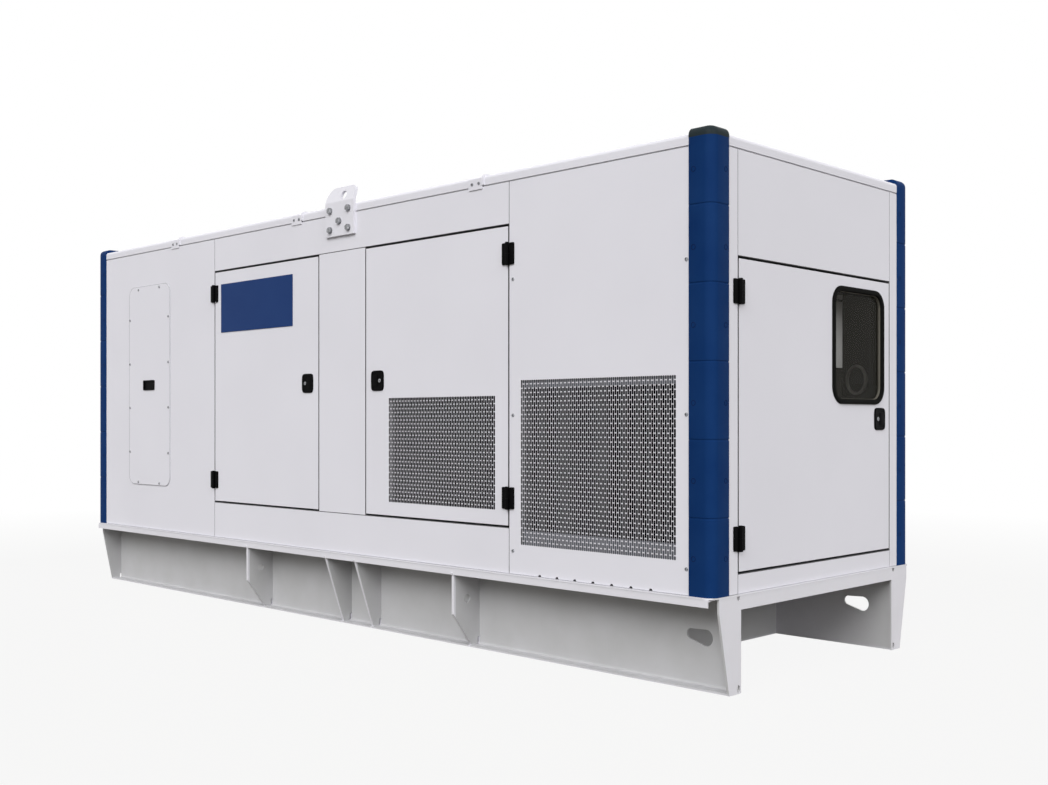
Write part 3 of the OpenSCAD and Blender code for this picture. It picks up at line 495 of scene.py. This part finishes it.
def cap_shape():
    """The post's outline, drawn in by c(1 - cos t) at the height top - c(1 - sin t)."""
    t = np.linspace(0, np.pi / 2, 9)
    draw_in = np.concatenate([[0], CAP_ROUND * (1 - np.cos(t)), [CAP_ROUND * 1.5]])
    z = np.concatenate([[cap_foot], cap_head - CAP_ROUND * (1 - np.sin(t)), [cap_head]])
    ring = np.stack([np.concatenate([[[0, 0]], corner_path(POST_W - d, POST_R - d)[2:-2]]) for d in draw_in])
    return carried_up(ring, z)


near_cap = set_down(cap_shape(), corner_wall["front_right"])
far_caps = join(*(set_down(cap_shape(), corner_wall[n]) for n in ("front_left", "back_right", "back_left")))
add_piece("near_post_cap", near_cap, "housing", cap_dark, ["post_caps"])
add_piece("far_post_caps", far_caps, "housing", post_blue)

# %% [markdown]
# ### Post screws
# Each module is held by two sunk screws near its edges. They are small plugs in the same blue, with a
# rim and a hollow.

# %% Post screws
SCREW_Z = (0.537, 0.841, 1.145, 1.449, 1.752, 2.056)
PLUG_R, PLUG_FROM_EDGE = 0.0110, 0.023
plug_steps = [(0, -0.001), (0, 0.0006), (0.0008, 0.0011), (0.0022, 0.0010), (0.0030, -0.0008),
              (0.0045, -0.0010)]
plug = loft(step_rings(circle(PLUG_R, 20), plug_steps))
side_walls = [wall((corner_x + POST_W, corner_y + PLUG_FROM_EDGE, 0), (0, 1, 0), (0, 0, 1), (1, 0, 0)),
              wall((corner_x + PLUG_FROM_EDGE, corner_y + POST_W, 0), (-1, 0, 0), (0, 0, 1), (0, 1, 0))]


def plugs_on_post():
    """A plug at each height on both flat sides."""
    return join(*(set_down(moved(plug, 0, z), on) for on in side_walls for z in SCREW_Z))


plug_blue = moulded("plug_blue", (8, 28, 66), 0.5, 900.0, 0.0004, 0.05)
plugs = join(*(set_down(plugs_on_post(), on) for on in corner_wall.values()))
add_piece("post_plugs", plugs, "housing", plug_blue)

# %% [markdown]
# ## Slotted grilles
# Each grille is a sheet with upright slots, every other column half a step higher. The sheet is cut
# into cells, one slot in each. A cell is a ring of eight faces between its border and its slot, the
# slot's eight walls, and the ring again behind. Corners and side middles of neighbours meet, so the
# points are merged into one sheet.

# %% Slotted grilles
SLOT_H, PITCH_X, PITCH_Z, SHEET_T = 0.0363, 0.01127, 0.0385, 0.0006
INTAKE_SLOT_W, DOOR_SLOT_W, SLOT_END = 0.0102, 0.0104, 0.55


def slotted(width, height, slot_w):
    """Cells in columns; odd columns start and end with half a cell. Slots are eight-sided."""
    columns, rows = round(width / PITCH_X), round(height / PITCH_Z)
    px, pz = width / columns, height / rows
    full, short = SLOT_H / 2 * pz / PITCH_Z, (SLOT_H * pz / PITCH_Z - pz / 2) / 2
    even = np.array([(j * pz, (j + 1) * pz, full) for j in range(rows)])
    odd = np.array([(0, pz / 2, short)] + [((j + 0.5) * pz, (j + 1.5) * pz, full) for j in range(rows - 1)]
                   + [((rows - 0.5) * pz, rows * pz, short)])
    cells = [np.c_[np.full(len(c), i * px), c] for i, c in enumerate([even, odd] * columns) if i < columns]
    cells = np.concatenate(cells)
    x0, z0, z1, half = cells.T
    turn_x, turn_z = np.array([-1, 0, 1, 1, 1, 0, -1, -1]), np.array([-1, -1, -1, 0, 1, 1, 1, 0])
    mid_x, mid_z = x0 + px / 2, (z0 + z1) / 2
    border = np.stack([mid_x[:, None] + turn_x * px / 2,
                       mid_z[:, None] + turn_z * (z1 - z0)[:, None] / 2], -1)
    end = np.where(turn_x * turn_z == 0, 0, SLOT_END * slot_w / 2)
    hole = np.stack([mid_x[:, None] + turn_x * slot_w / 2,
                     mid_z[:, None] + turn_z * (half[:, None] - end)], -1)
    levels = [(border, 0.0), (hole, 0.0), (hole, -SHEET_T), (border, -SHEET_T)]
    points = np.concatenate([np.concatenate([p, np.full(p.shape[:2] + (1,), h)], -1) for p, h in levels], 1)
    k, n = np.arange(8), (np.arange(8) + 1) % 8
    rings = [np.stack([k + a, n + a, n + a + 8, k + a + 8], -1) for a in (0, 8, 16)]
    faces = (np.concatenate(rings)[None] + 32 * np.arange(len(cells))[:, None, None]).reshape(-1, 4)
    points, same = np.unique(np.round(points.reshape(-1, 3), 7), axis=0, return_inverse=True)
    rim = [(0, 0), (width, 0), (width, height), (0, height)]
    walls = [((*p, -SHEET_T), (*q, -SHEET_T), (*q, 0), (*p, 0)) for p, q in zip(rim, rim[1:] + rim[:1])]
    edge = np.array(walls).reshape(-1, 3), np.arange(16).reshape(4, 4).tolist()
    return join((points, same.reshape(-1)[faces].tolist()), edge)


FOAM_WAVE, FOAM_DEEP, BACK_R = 0.004, (-0.016, -0.005), 0.004
FOAM_BACK, FRAME_BACK, FRAME_LOW, FRAME_HIGH = 0.030, 0.020, 0.065, 0.036


def foam_sheet(width, height, n=48):
    """Egg-crate foam: a grid whose height is a product of two sine waves, with a flat back."""
    u, v = np.meshgrid(np.linspace(0, 1, n), np.linspace(0, 1, n), indexing="ij")
    wave = np.sin(np.pi * (n // 2) * u) * np.sin(np.pi * (n // 2) * v)
    front = np.stack([u * width, v * height, FOAM_WAVE * wave], -1).reshape(-1, 3)
    i, j = np.meshgrid(np.arange(n - 1), np.arange(n - 1), indexing="ij")
    a = (i * n + j).ravel()
    faces = np.stack([a, a + n, a + n + 1, a + 1], -1).tolist()
    outline = rounded(width, height, BACK_R) + [width / 2, height / 2]
    return join((front, faces), loft(step_rings(outline, [(0, h) for h in FOAM_DEEP])))


def frame_bar(width, height):
    """A flat bar with rounded edges whose lower left corner lies at the origin."""
    outline = rounded(width, height, BACK_R) + [width / 2, height / 2]
    return loft(step_rings(outline, round_over(0.004, 0.002)))


grille_paint = pale_paint("grille_paint", (212, 211, 218), 0.02)
grilles = {"front_intake_grille": (FRONT, "housing"), "back_intake_grille": (BACK, "housing"),
           "front_right_door_grille": (FRONT, "front_right_leaf"), "back_door_grille": (BACK, "housing")}
for node_name, (on, body) in grilles.items():
    low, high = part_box(node_name)
    width, height = high.x - low.x, high.z - low.z
    slot_w = INTAKE_SLOT_W if "intake" in node_name else DOOR_SLOT_W
    sheet = set_down(moved(slotted(width, height, slot_w), low.x, low.z), on)
    add_piece(node_name.replace("grille", "slots"), sheet, body, grille_paint, [node_name])
    lining = set_down(moved(foam_sheet(width, height), low.x, low.z, -FOAM_BACK), on)
    add_piece(node_name.replace("grille", "foam"), lining, body, foam_dark)
    if "intake" in node_name:
        # The bars behind the sheet at its top and bottom are grey as painted shade.
        bars = [(0, FRAME_LOW), (height - FRAME_HIGH, FRAME_HIGH)]
        bars = [moved(frame_bar(width, h), low.x, low.z + z, -FRAME_BACK) for z, h in bars]
        add_piece(node_name.replace("grille", "frame"), set_down(join(*bars), on), body,
                  frame_grey)

# %% [markdown]
# ## Hinges and latches
# A hinge is two rounded leaves with an upright barrel between them. The lower half of the barrel
# belongs to the frame and the upper half to the door, so each half rides on its own body. A latch is
# a bowed black body with a raised rim, a paddle towards the door's free edge and a steel lock.

# %% Hinge halves
AXIS_OUT, LEAF_IN, LEAF_OUT, LEAF_H, LEAF_T = 0.011, 0.0100, 0.037, 0.098, 0.0085
BARREL_R, BARREL_H, BARREL_GAP, BARREL_SOFT, ARM_LAP = 0.0089, 0.104, 0.0003, 0.002, 0.004


def upright(steps, n=24):
    """A barrel about the upright axis: circles of the given (radius, height) steps."""
    a = np.arange(n) * 2 * np.pi / n
    r, h = np.array(steps).T
    rings = np.outer(r, np.cos(a)), np.outer(h, np.ones(n)), AXIS_OUT - np.outer(r, np.sin(a))
    return loft(np.stack(rings, -1))


def hinge_half(side, door):
    """A leaf on one side of the axis, an arm, and half a barrel with a rounded end."""
    wide = LEAF_OUT - LEAF_IN
    leaf = loft(step_rings(rounded(wide, LEAF_H, 0.005), round_over(LEAF_T, 0.003)))
    low, high = (BARREL_GAP / 2, BARREL_H / 2) if door else (-BARREL_H / 2, -BARREL_GAP / 2)
    slim = BARREL_R - BARREL_SOFT
    tip = [(slim, high), (BARREL_R, high - BARREL_SOFT)] if door else [(BARREL_R, high)]
    heel = [(BARREL_R, low)] if door else [(BARREL_R, low + BARREL_SOFT), (slim, low)]
    barrel = upright((tip + heel)[::-1])
    reach = LEAF_IN + ARM_LAP
    arm_outline = rounded(reach, high - low - 2 * BARREL_SOFT, 0.001, 2)
    arm = loft(step_rings(arm_outline, round_over(LEAF_T - 0.001, 0.001, 0, 2)))
    arm = moved(arm, side * reach / 2, (low + high) / 2)
    return join(moved(leaf, side * (LEAF_IN + wide / 2)), barrel, arm)


# %% Latch and lock
LATCH_W, LATCH_H = 0.098, 0.103
PADDLE_W, PADDLE_H, PADDLE_SHIFT = 0.040, 0.058, 0.016
LOCK_OFFSET, LOCK_R, LOCK_RING_R = 0.2 * LATCH_W, 0.0095, 0.0130
latch_steps = [(0, 0), (0, 0.0030), (0.0006, 0.0046), (0.0020, 0.0060), (0.0045, 0.0068), (0.0080, 0.0070),
               (0.0100, 0.0064), (0.0115, 0.0048), (0.0135, 0.0045)]
lock_ring_steps = [(0, 0.0035), (0, 0.0056), (0.001, 0.0062), (0.0025, 0.0062), (0.003, 0.0052)]
lock_steps = [(0, 0.0035), (0, 0.0060), (0.0010, 0.0067), (0.0062, 0.0067), (0.0066, 0.0052)]


def latch_shape(free):
    """A bowed outline carried up to a rim and down to a hollow face, with a paddle and a lock ring."""
    body = loft(step_rings(bowed(LATCH_W, LATCH_H, 5.4), latch_steps))
    paddle = loft(step_rings(rounded(PADDLE_W, PADDLE_H, 0.006), round_over(0.0066, 0.0015, -0.0035)))
    ring = loft(step_rings(circle(LOCK_RING_R, 28), lock_ring_steps))
    return join(body, moved(paddle, free * PADDLE_SHIFT), moved(ring, -free * LOCK_OFFSET))


def lock_shape(free):
    """A steel disc with a rounded edge and a hollow for the key."""
    return moved(loft(step_rings(circle(LOCK_R, 24), lock_steps)), -free * LOCK_OFFSET)


# %% Hinges and latches on their bodies
# Which way each door's free edge lies. The left door opens to the left.
FREE_SIDE = {"left": 1, "right": -1}
HINGE_INSET, END_HINGE_INSET = 0.134, 0.141
left_low, left_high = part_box("front_left_door")
right_low, right_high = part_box("front_right_door")
end_low, end_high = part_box("end_door")
GAP, GAP_Z = 0.007, 0.010
front_axis = {"left": left_low.x - GAP / 2, "right": right_high.x + GAP / 2}
end_axis = end_low.y - GAP / 2
front_heights = (left_low.z - GAP_Z + HINGE_INSET, left_high.z + GAP_Z - HINGE_INSET)
end_heights = (end_low.z - GAP_Z + END_HINGE_INSET, end_high.z + GAP_Z - END_HINGE_INSET)
LATCH_INSET, END_LATCH_Z = 0.100, 1.084
latch_x = {"left": left_high.x + GAP - LATCH_INSET, "right": right_low.x - GAP + LATCH_INSET}
latch_z = (left_low.z + left_high.z) / 2


def hinges(axis, heights, side, door):
    """The same half of a hinge at each height."""
    return [moved(hinge_half(side, door), axis, z) for z in heights]


def front_fittings(hand):
    """Door halves of the hinges and the latch of one front door."""
    latch = moved(latch_shape(FREE_SIDE[hand]), latch_x[hand], latch_z)
    return hinges(front_axis[hand], front_heights, FREE_SIDE[hand], True) + [latch]


fixed = [half for hand, free in FREE_SIDE.items()
         for half in hinges(front_axis[hand], front_heights, -free, False)]
locks = {hand: moved(lock_shape(free), latch_x[hand], latch_z) for hand, free in FREE_SIDE.items()}
add_piece("front_hinge_halves", set_down(join(*fixed), FRONT), "housing", fitting_black,
          ["front_hinges"])
for hand in FREE_SIDE:
    add_piece(f"{hand}_door_handles", set_down(join(*front_fittings(hand)), FRONT), f"front_{hand}_leaf",
              fitting_black, [f"front_{hand}_door_fittings"])
    add_piece(f"{hand}_door_lock", set_down(locks[hand], FRONT), f"front_{hand}_leaf", steel)
back_all = join(*fixed, *front_fittings("left"), *front_fittings("right"))
add_piece("back_handles", set_down(back_all, BACK), "housing", fitting_black,
          ["back_fittings"])
add_piece("back_locks", set_down(join(*locks.values()), BACK), "housing", steel)
end_fixed = join(*hinges(end_axis, end_heights, -1, False))
add_piece("end_hinge_halves", set_down(end_fixed, RIGHT_END), "housing", fitting_black,
          ["end_hinges"])
end_latch_y = end_high.y + GAP - LATCH_INSET
end_set = join(*hinges(end_axis, end_heights, 1, True), moved(latch_shape(1), end_latch_y, END_LATCH_Z))
add_piece("end_door_handles", set_down(end_set, RIGHT_END), "end_leaf", fitting_black,
          ["end_door_fittings"])
end_lock = set_down(moved(lock_shape(1), end_latch_y, END_LATCH_Z), RIGHT_END)
add_piece("end_door_lock", end_lock, "end_leaf", steel)

# %% [markdown]
# ## Screws and bolts
# Panels are held by small round-headed screws with a hollow for the key, and the lifting plates by
# large hexagon bolts on washers. Both are outlines carried up in steps.

# %% Screws and bolts
SCREW_R, WASHER_R, HEAD_FLATS = 0.0080, 0.0180, 0.030
screw_steps = [(0, -0.001), (0, 0.0010), (0.0005, 0.0026), (0.0018, 0.0038), (0.0032, 0.0041),
               (0.0038, 0.0004)]
head_steps = [(0, 0.002), (0, 0.0123), (0.0008, 0.0140), (0.0022, 0.0148), (0.006, 0.0150)]
screw = loft(step_rings(circle(SCREW_R, 18), screw_steps))
washer = loft(step_rings(circle(WASHER_R, 32), round_over(0.003, 0.0008, 0.001, 2)))
bolt = join(washer, loft(step_rings(hexagon(HEAD_FLATS), head_steps)))

right_panel_at = [(x, z) for x in (1.434, 2.390) for z in (0.494, 1.100, 1.708)]
cover_low, cover_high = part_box("access_covers")
COVER_T = 0.004
cover_at = [(x, z) for x in (-2.068, -1.582) for z in (0.875, 1.160, 1.442, 1.726)]
cover_at += [(x, z) for x in (-1.957, -1.692) for z in (0.683, 1.917)]
roof_joints = [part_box(f"roof_section_{k}")[1].x + 0.002 for k in (2, 3, 4)]
CLIP_T, CLIP_Z, CLIP_BACK = 0.005, 2.166, (0.0225, 0.0675)
clip_at = [(x - back, CLIP_Z) for x in roof_joints for back in CLIP_BACK]
LIFT_T, LIFT_MIDDLE, LIFT_SIDE = 0.015, 0.178, 0.077
lift_at = [(LIFT_MIDDLE + s * LIFT_SIDE, z) for s in (-1, 1) for z in (2.071, 2.172)] + [(LIFT_MIDDLE, 2.113)]
thick_under = ((right_panel_at, 0), (cover_at, COVER_T), (clip_at, CLIP_T))
screws = [moved(screw, x, z, out) for spots, out in thick_under for x, z in spots]
bolts = [moved(bolt, x, z, LIFT_T) for x, z in lift_at]
for side, on in (("front", FRONT), ("back", BACK)):
    add_piece(f"{side}_screws", set_down(join(*screws), on), "housing", steel)
all_bolts = join(set_down(join(*bolts), FRONT), set_down(join(*bolts), BACK))
add_piece("hexagon_bolts", all_bolts, "housing", steel, ["lifting_bolts"])

# %% [markdown]
# ### Cover gaskets and shade lines
# Each bolted cover sits on a thin dark strip, partly a gasket and partly painted shade for the gap under its
# edge, and a fine dark line of painted shade runs round its top edge. Both are small profiles carried round
# the cover's outline.

# %% Cover gaskets and shade lines
COVER_R, GASKET_W, GASKET_H, EDGE_LINE_W = 0.060, 0.0007, 0.0006, 0.0018
cover_w, cover_h = cover_high.x - cover_low.x, cover_high.z - cover_low.z
cover_middle = (cover_low.x + cover_high.x) / 2, (cover_low.z + cover_high.z) / 2


def round_cover_line(grow, steps, out):
    """A profile of (inset, height) steps carried round the cover's outline, which first grows a little."""
    outline = rounded(cover_w + 2 * grow, cover_h + 2 * grow, COVER_R + grow, 10)
    return moved(tube(step_rings(outline, steps)), *cover_middle, out)


# A thin dark strip round the cover's foot: partly a gasket, partly painted shade.
foot_line = round_cover_line(GASKET_W, [(0, 0), (0, GASKET_H), (GASKET_W, GASKET_H), (GASKET_W, 0)], 0)
# A fine dark line round the cover's top edge: painted shade.
top_steps = [(0.0004, -0.0002), (0.0004, 0.0002), (EDGE_LINE_W, 0.0002), (EDGE_LINE_W, -0.0002)]
gasket_and_shade_line = join(foot_line, round_cover_line(0, top_steps, COVER_T))
gaskets_and_shade_lines = join(set_down(gasket_and_shade_line, FRONT), set_down(gasket_and_shade_line, BACK))
add_piece("cover_gaskets_and_shade_lines", gaskets_and_shade_lines, "housing", gasket_shade_grey)

# %% [markdown]
# ## Roof joints
# Where two roof sections meet, a thin strip laps the joint. It follows the roof from one lower edge,
# round the edge, over the top and down the other side: a flat profile carried along that path.

# %% Roof joint strips
roof_low, roof_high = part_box("roof_section_2")
STRIP_W, STRIP_T, ROOF_R = 0.014, 0.007, 0.018


def strip_shape(x):
    """A path down one side, over two quarter circles and down the other, thickened along its normal."""
    t = np.linspace(0, np.pi / 2, 9)
    half, top = -roof_low.y - ROOF_R, roof_high.z - ROOF_R
    out = np.concatenate([[[1, 0]], np.c_[np.cos(t), np.sin(t)]])
    spots = np.concatenate([[[half + ROOF_R, roof_low.z + 0.006]], np.c_[half, top] + ROOF_R * out[1:]])
    out = np.concatenate([out, out[::-1] * [-1, 1]])
    spots = np.concatenate([spots, spots[::-1] * [-1, 1]])
    grown = spots + STRIP_T * out
    sides = [(-1, spots), (-1, grown), (1, grown), (1, spots)]
    return loft(np.stack([np.c_[np.full(len(p), x + s * STRIP_W / 2), p] for s, p in sides], 1))


strips = join(*(strip_shape(x) for x in roof_joints))
add_piece("roof_joint_strips", strips, "housing", panel_paint)

# %% [markdown]
# ## Window
# The rubber seal is a bead round the opening: a closed profile carried round a rounded rectangle, so
# it has no ends. Behind the glass stand the control cabinet's pale facia and an oval ring on the far
# wall.

# %% Window seal
seal_low, seal_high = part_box("window_seal")
SEAL_R, SEAL_W, DOOR_T = 0.080, 0.024, 0.050
seal_middle = ((seal_low.y + seal_high.y) / 2, (seal_low.z + seal_high.z) / 2)
seal_outline = rounded(seal_high.y - seal_low.y, seal_high.z - seal_low.z, SEAL_R, 14)
seal_steps = [(0.0, 0.0), (0.0003, 0.0050), (0.0020, 0.0085), (0.0060, 0.0100), (0.0140, 0.0100),
              (0.0205, 0.0080), (0.0235, 0.0035), (SEAL_W, -0.003), (SEAL_W, -0.0136), (0.0215, -0.0138),
              (0.0215, -0.0204), (SEAL_W, -0.0206), (SEAL_W, -DOOR_T), (0.0145, -DOOR_T), (0.0145, 0.0)]
seal = moved(tube(step_rings(seal_outline, seal_steps)), *seal_middle)
add_piece("window_bead", set_down(seal, RIGHT_END), "end_leaf", seal_rubber, ["window_seal"])
filler_steps = [(0.0236, -0.001), (0.0246, -0.002), (0.0252, -0.006), (0.0252, -0.0128), (0.0236, -0.0134)]
filler = moved(tube(step_rings(seal_outline, filler_steps)), *seal_middle)
add_piece("window_filler", set_down(filler, RIGHT_END), "end_leaf", filler_rubber)

# %% Behind the window
cabinet_low, cabinet_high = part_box("control_cabinet")
facia_wall = wall((cabinet_high.x, 0, 0), (0, 1, 0), (0, 0, 1), (1, 0, 0))
FACIA_Z, LEDGE_H, RING_R, RING_OVAL, RING_AT = (1.326, 1.640), 0.022, 0.074, (0.76, 1), (-2.2725, 1.276)
facia_w, facia_h = cabinet_high.y - cabinet_low.y - 0.004, FACIA_Z[1] - FACIA_Z[0]
facia = loft(step_rings(rounded(facia_w, facia_h, 0.006), round_over(0.006, 0.002)))
ledge = loft(step_rings(rounded(facia_w, LEDGE_H, 0.004), round_over(0.005, 0.0015)))
facia_y = (cabinet_low.y + cabinet_high.y) / 2
facia_set = join(moved(facia, facia_y, sum(FACIA_Z) / 2), moved(ledge, facia_y, FACIA_Z[1] + LEDGE_H))
add_piece("cabinet_facia", set_down(facia_set, facia_wall), "housing", facia_grey)
inner_back = wall((0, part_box("back_right_panel")[0].y, 0), (-1, 0, 0), (0, 0, 1), (0, -1, 0))
ring_steps = [(0, 0), (0, 0.010), (0.002, 0.014), (0.007, 0.016), (0.011, 0.014), (0.012, 0.008), (0.012, 0)]
wall_ring = moved(tube(step_rings(circle(RING_R, 48) * RING_OVAL, ring_steps)), *RING_AT)
add_piece("round_wall_cover", set_down(wall_ring, inner_back), "housing", ring_grey)

# %% [markdown]
# ## Base bends
# The rails are folded from plate, so the web meets the foot in a round bend. A concave quarter circle
# carried along the rail fills that corner.

# %% Base bends
rail_low, rail_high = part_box("front_base_rail")
WEB_Y, FOOT_T, BEND_R = -0.638, 0.008, 0.011


def bend_shape():
    """Points at angle t on a circle that touches the web and the foot, closed at the corner behind it."""
    t = np.linspace(0, np.pi / 2, 9)
    arc = np.c_[WEB_Y - BEND_R * (1 - np.cos(t)), FOOT_T + BEND_R * (1 - np.sin(t))]
    ring = np.concatenate([[[WEB_Y + 0.001, FOOT_T - 0.001]], arc])
    ends = [np.c_[np.full(len(ring), x), ring] for x in (rail_high.x - 0.002, rail_low.x + 0.002)]
    return loft(np.array(ends))


mirror_y = wall((0, 0, 0), (1, 0, 0), (0, -1, 0), (0, 0, 1))
bends = join(bend_shape(), set_down(bend_shape(), mirror_y))
add_piece("rail_bends", bends, "housing", base_paint)

# %% [markdown]
# ### Weld marks
# Where a gusset meets the lip, the weld leaves a small bump: a low dome, pressed to an oval.

# %% Weld marks
LIP_OUT, LIP_FOOT_Z, WELD_W, WELD_H = front_y - rail_low.y, 0.359, 0.011, 0.008
weld_steps = [(0, -0.0005), (0.0003, 0.0018), (0.0012, 0.0034), (0.0030, 0.0042)]
weld = loft(step_rings(circle(WELD_W / 2, 16), weld_steps))
weld = weld[0] * [1, WELD_H / WELD_W, 1], weld[1]
welds = join(*(moved(weld, x, LIP_FOOT_Z + WELD_H / 4, LIP_OUT) for x in GUSSET_X))
both_sides = join(set_down(welds, FRONT), set_down(welds, BACK))
add_piece("weld_marks", both_sides, "housing", base_paint)

# %% [markdown]
# ## Floor and light
# A pale floor runs out to a white surround. It keeps the shadow, and for the camera it is lifted towards
# white. Soft light comes from all round. Three broad lamps add to it: one in front and above, so that
# ledges and hinges throw short shadows downwards, one towards the right end, and a low one from behind.

# %% Floor
def seen_directly(tree):
    """1 on rays from the camera, also by way of a shine or a pane, and 0 on light that falls on things."""
    path = tree.nodes.new("ShaderNodeLightPath")
    kinds = [Wire(tree, path.outputs[f"Is {k} Ray"]) for k in ("Camera", "Glossy", "Transmission")]
    total = kinds[0] + kinds[1] + kinds[2]
    return total.sum("MINIMUM", total, 1.0)


FLOOR_HALF, FLOOR_WHITE, FADE = 60.0, 0.91, (4.0, 9.0)
floor_mesh = bpy.data.meshes.new("floor")
floor_corners = np.array([(-1, -1), (1, -1), (1, 1), (-1, 1)]) * FLOOR_HALF
floor_mesh.from_pydata(np.c_[floor_corners, np.zeros(4)].tolist(), [], [[0, 1, 2, 3]])
floor = bpy.data.objects.new("floor", floor_mesh)
bpy.context.scene.collection.objects.link(floor)
floor_pale, floor_shader, floor_spot = start_finish("floor_pale", Roughness=0.9, Specular_IOR_Level=0.0)
feed(floor_shader, Base_Color=floor_spot.noise(0.8, 2.0).blend(rgb(112, 109, 102), rgb(118, 115, 108)))
floor_tree = floor_pale.node_tree
white = floor_spot.node("ShaderNodeEmission", {}, {"Strength": 1.0})
floor_x, floor_y, _ = floor_spot.parts()
far = ((floor_x ** 2 + floor_y ** 2) ** 0.5).ramp(*FADE)
lifted = seen_directly(floor_tree) * (FLOOR_WHITE + (1 - FLOOR_WHITE) * far)
plain = Wire(floor_tree, floor_shader.outputs[0])
surface = floor_spot.node("ShaderNodeMixShader", {}, {0: lifted, 1: plain, 2: white})
floor_tree.links.new(surface.socket, floor_tree.nodes["Material Output"].inputs["Surface"])
floor_mesh.materials.append(floor_pale)

# %% Light
AMBIENT, SPREAD = 0.45, 40.0
world = bpy.data.worlds.new("studio")
bpy.context.scene.world = world
world.use_nodes = True
sky = world.node_tree.nodes["Background"]
sky.inputs["Color"].default_value = (1, 1, 1, 1)
level = seen_directly(world.node_tree) * (1 - AMBIENT) + AMBIENT
world.node_tree.links.new(level.socket, sky.inputs["Strength"])


def broad_light(name, towards, spread, strength):
    """A lamp so far off that its light is parallel. Its spread in degrees softens the shadows."""
    lamp = bpy.data.lights.new(name, "SUN")
    lamp.angle, lamp.energy = math.radians(spread), strength
    made = bpy.data.objects.new(name, lamp)
    bpy.context.scene.collection.objects.link(made)
    look = np.array(towards, float) / np.linalg.norm(towards)
    side = np.cross(up, look)
    side /= np.linalg.norm(side)
    basis = np.eye(4)
    basis[:3, 0], basis[:3, 1], basis[:3, 2] = side, np.cross(look, side), look
    made.matrix_world = Matrix(basis.tolist())


broad_light("front_light", (0.25, -0.72, 0.56), SPREAD, 2.33)
broad_light("end_light", (0.80, -0.15, 0.42), SPREAD, 1.42)
broad_light("far_light", (-0.72, 0.69, 0.26), SPREAD, 1.5)
bpy.context.scene.view_settings.view_transform = "Standard"
print("lit")
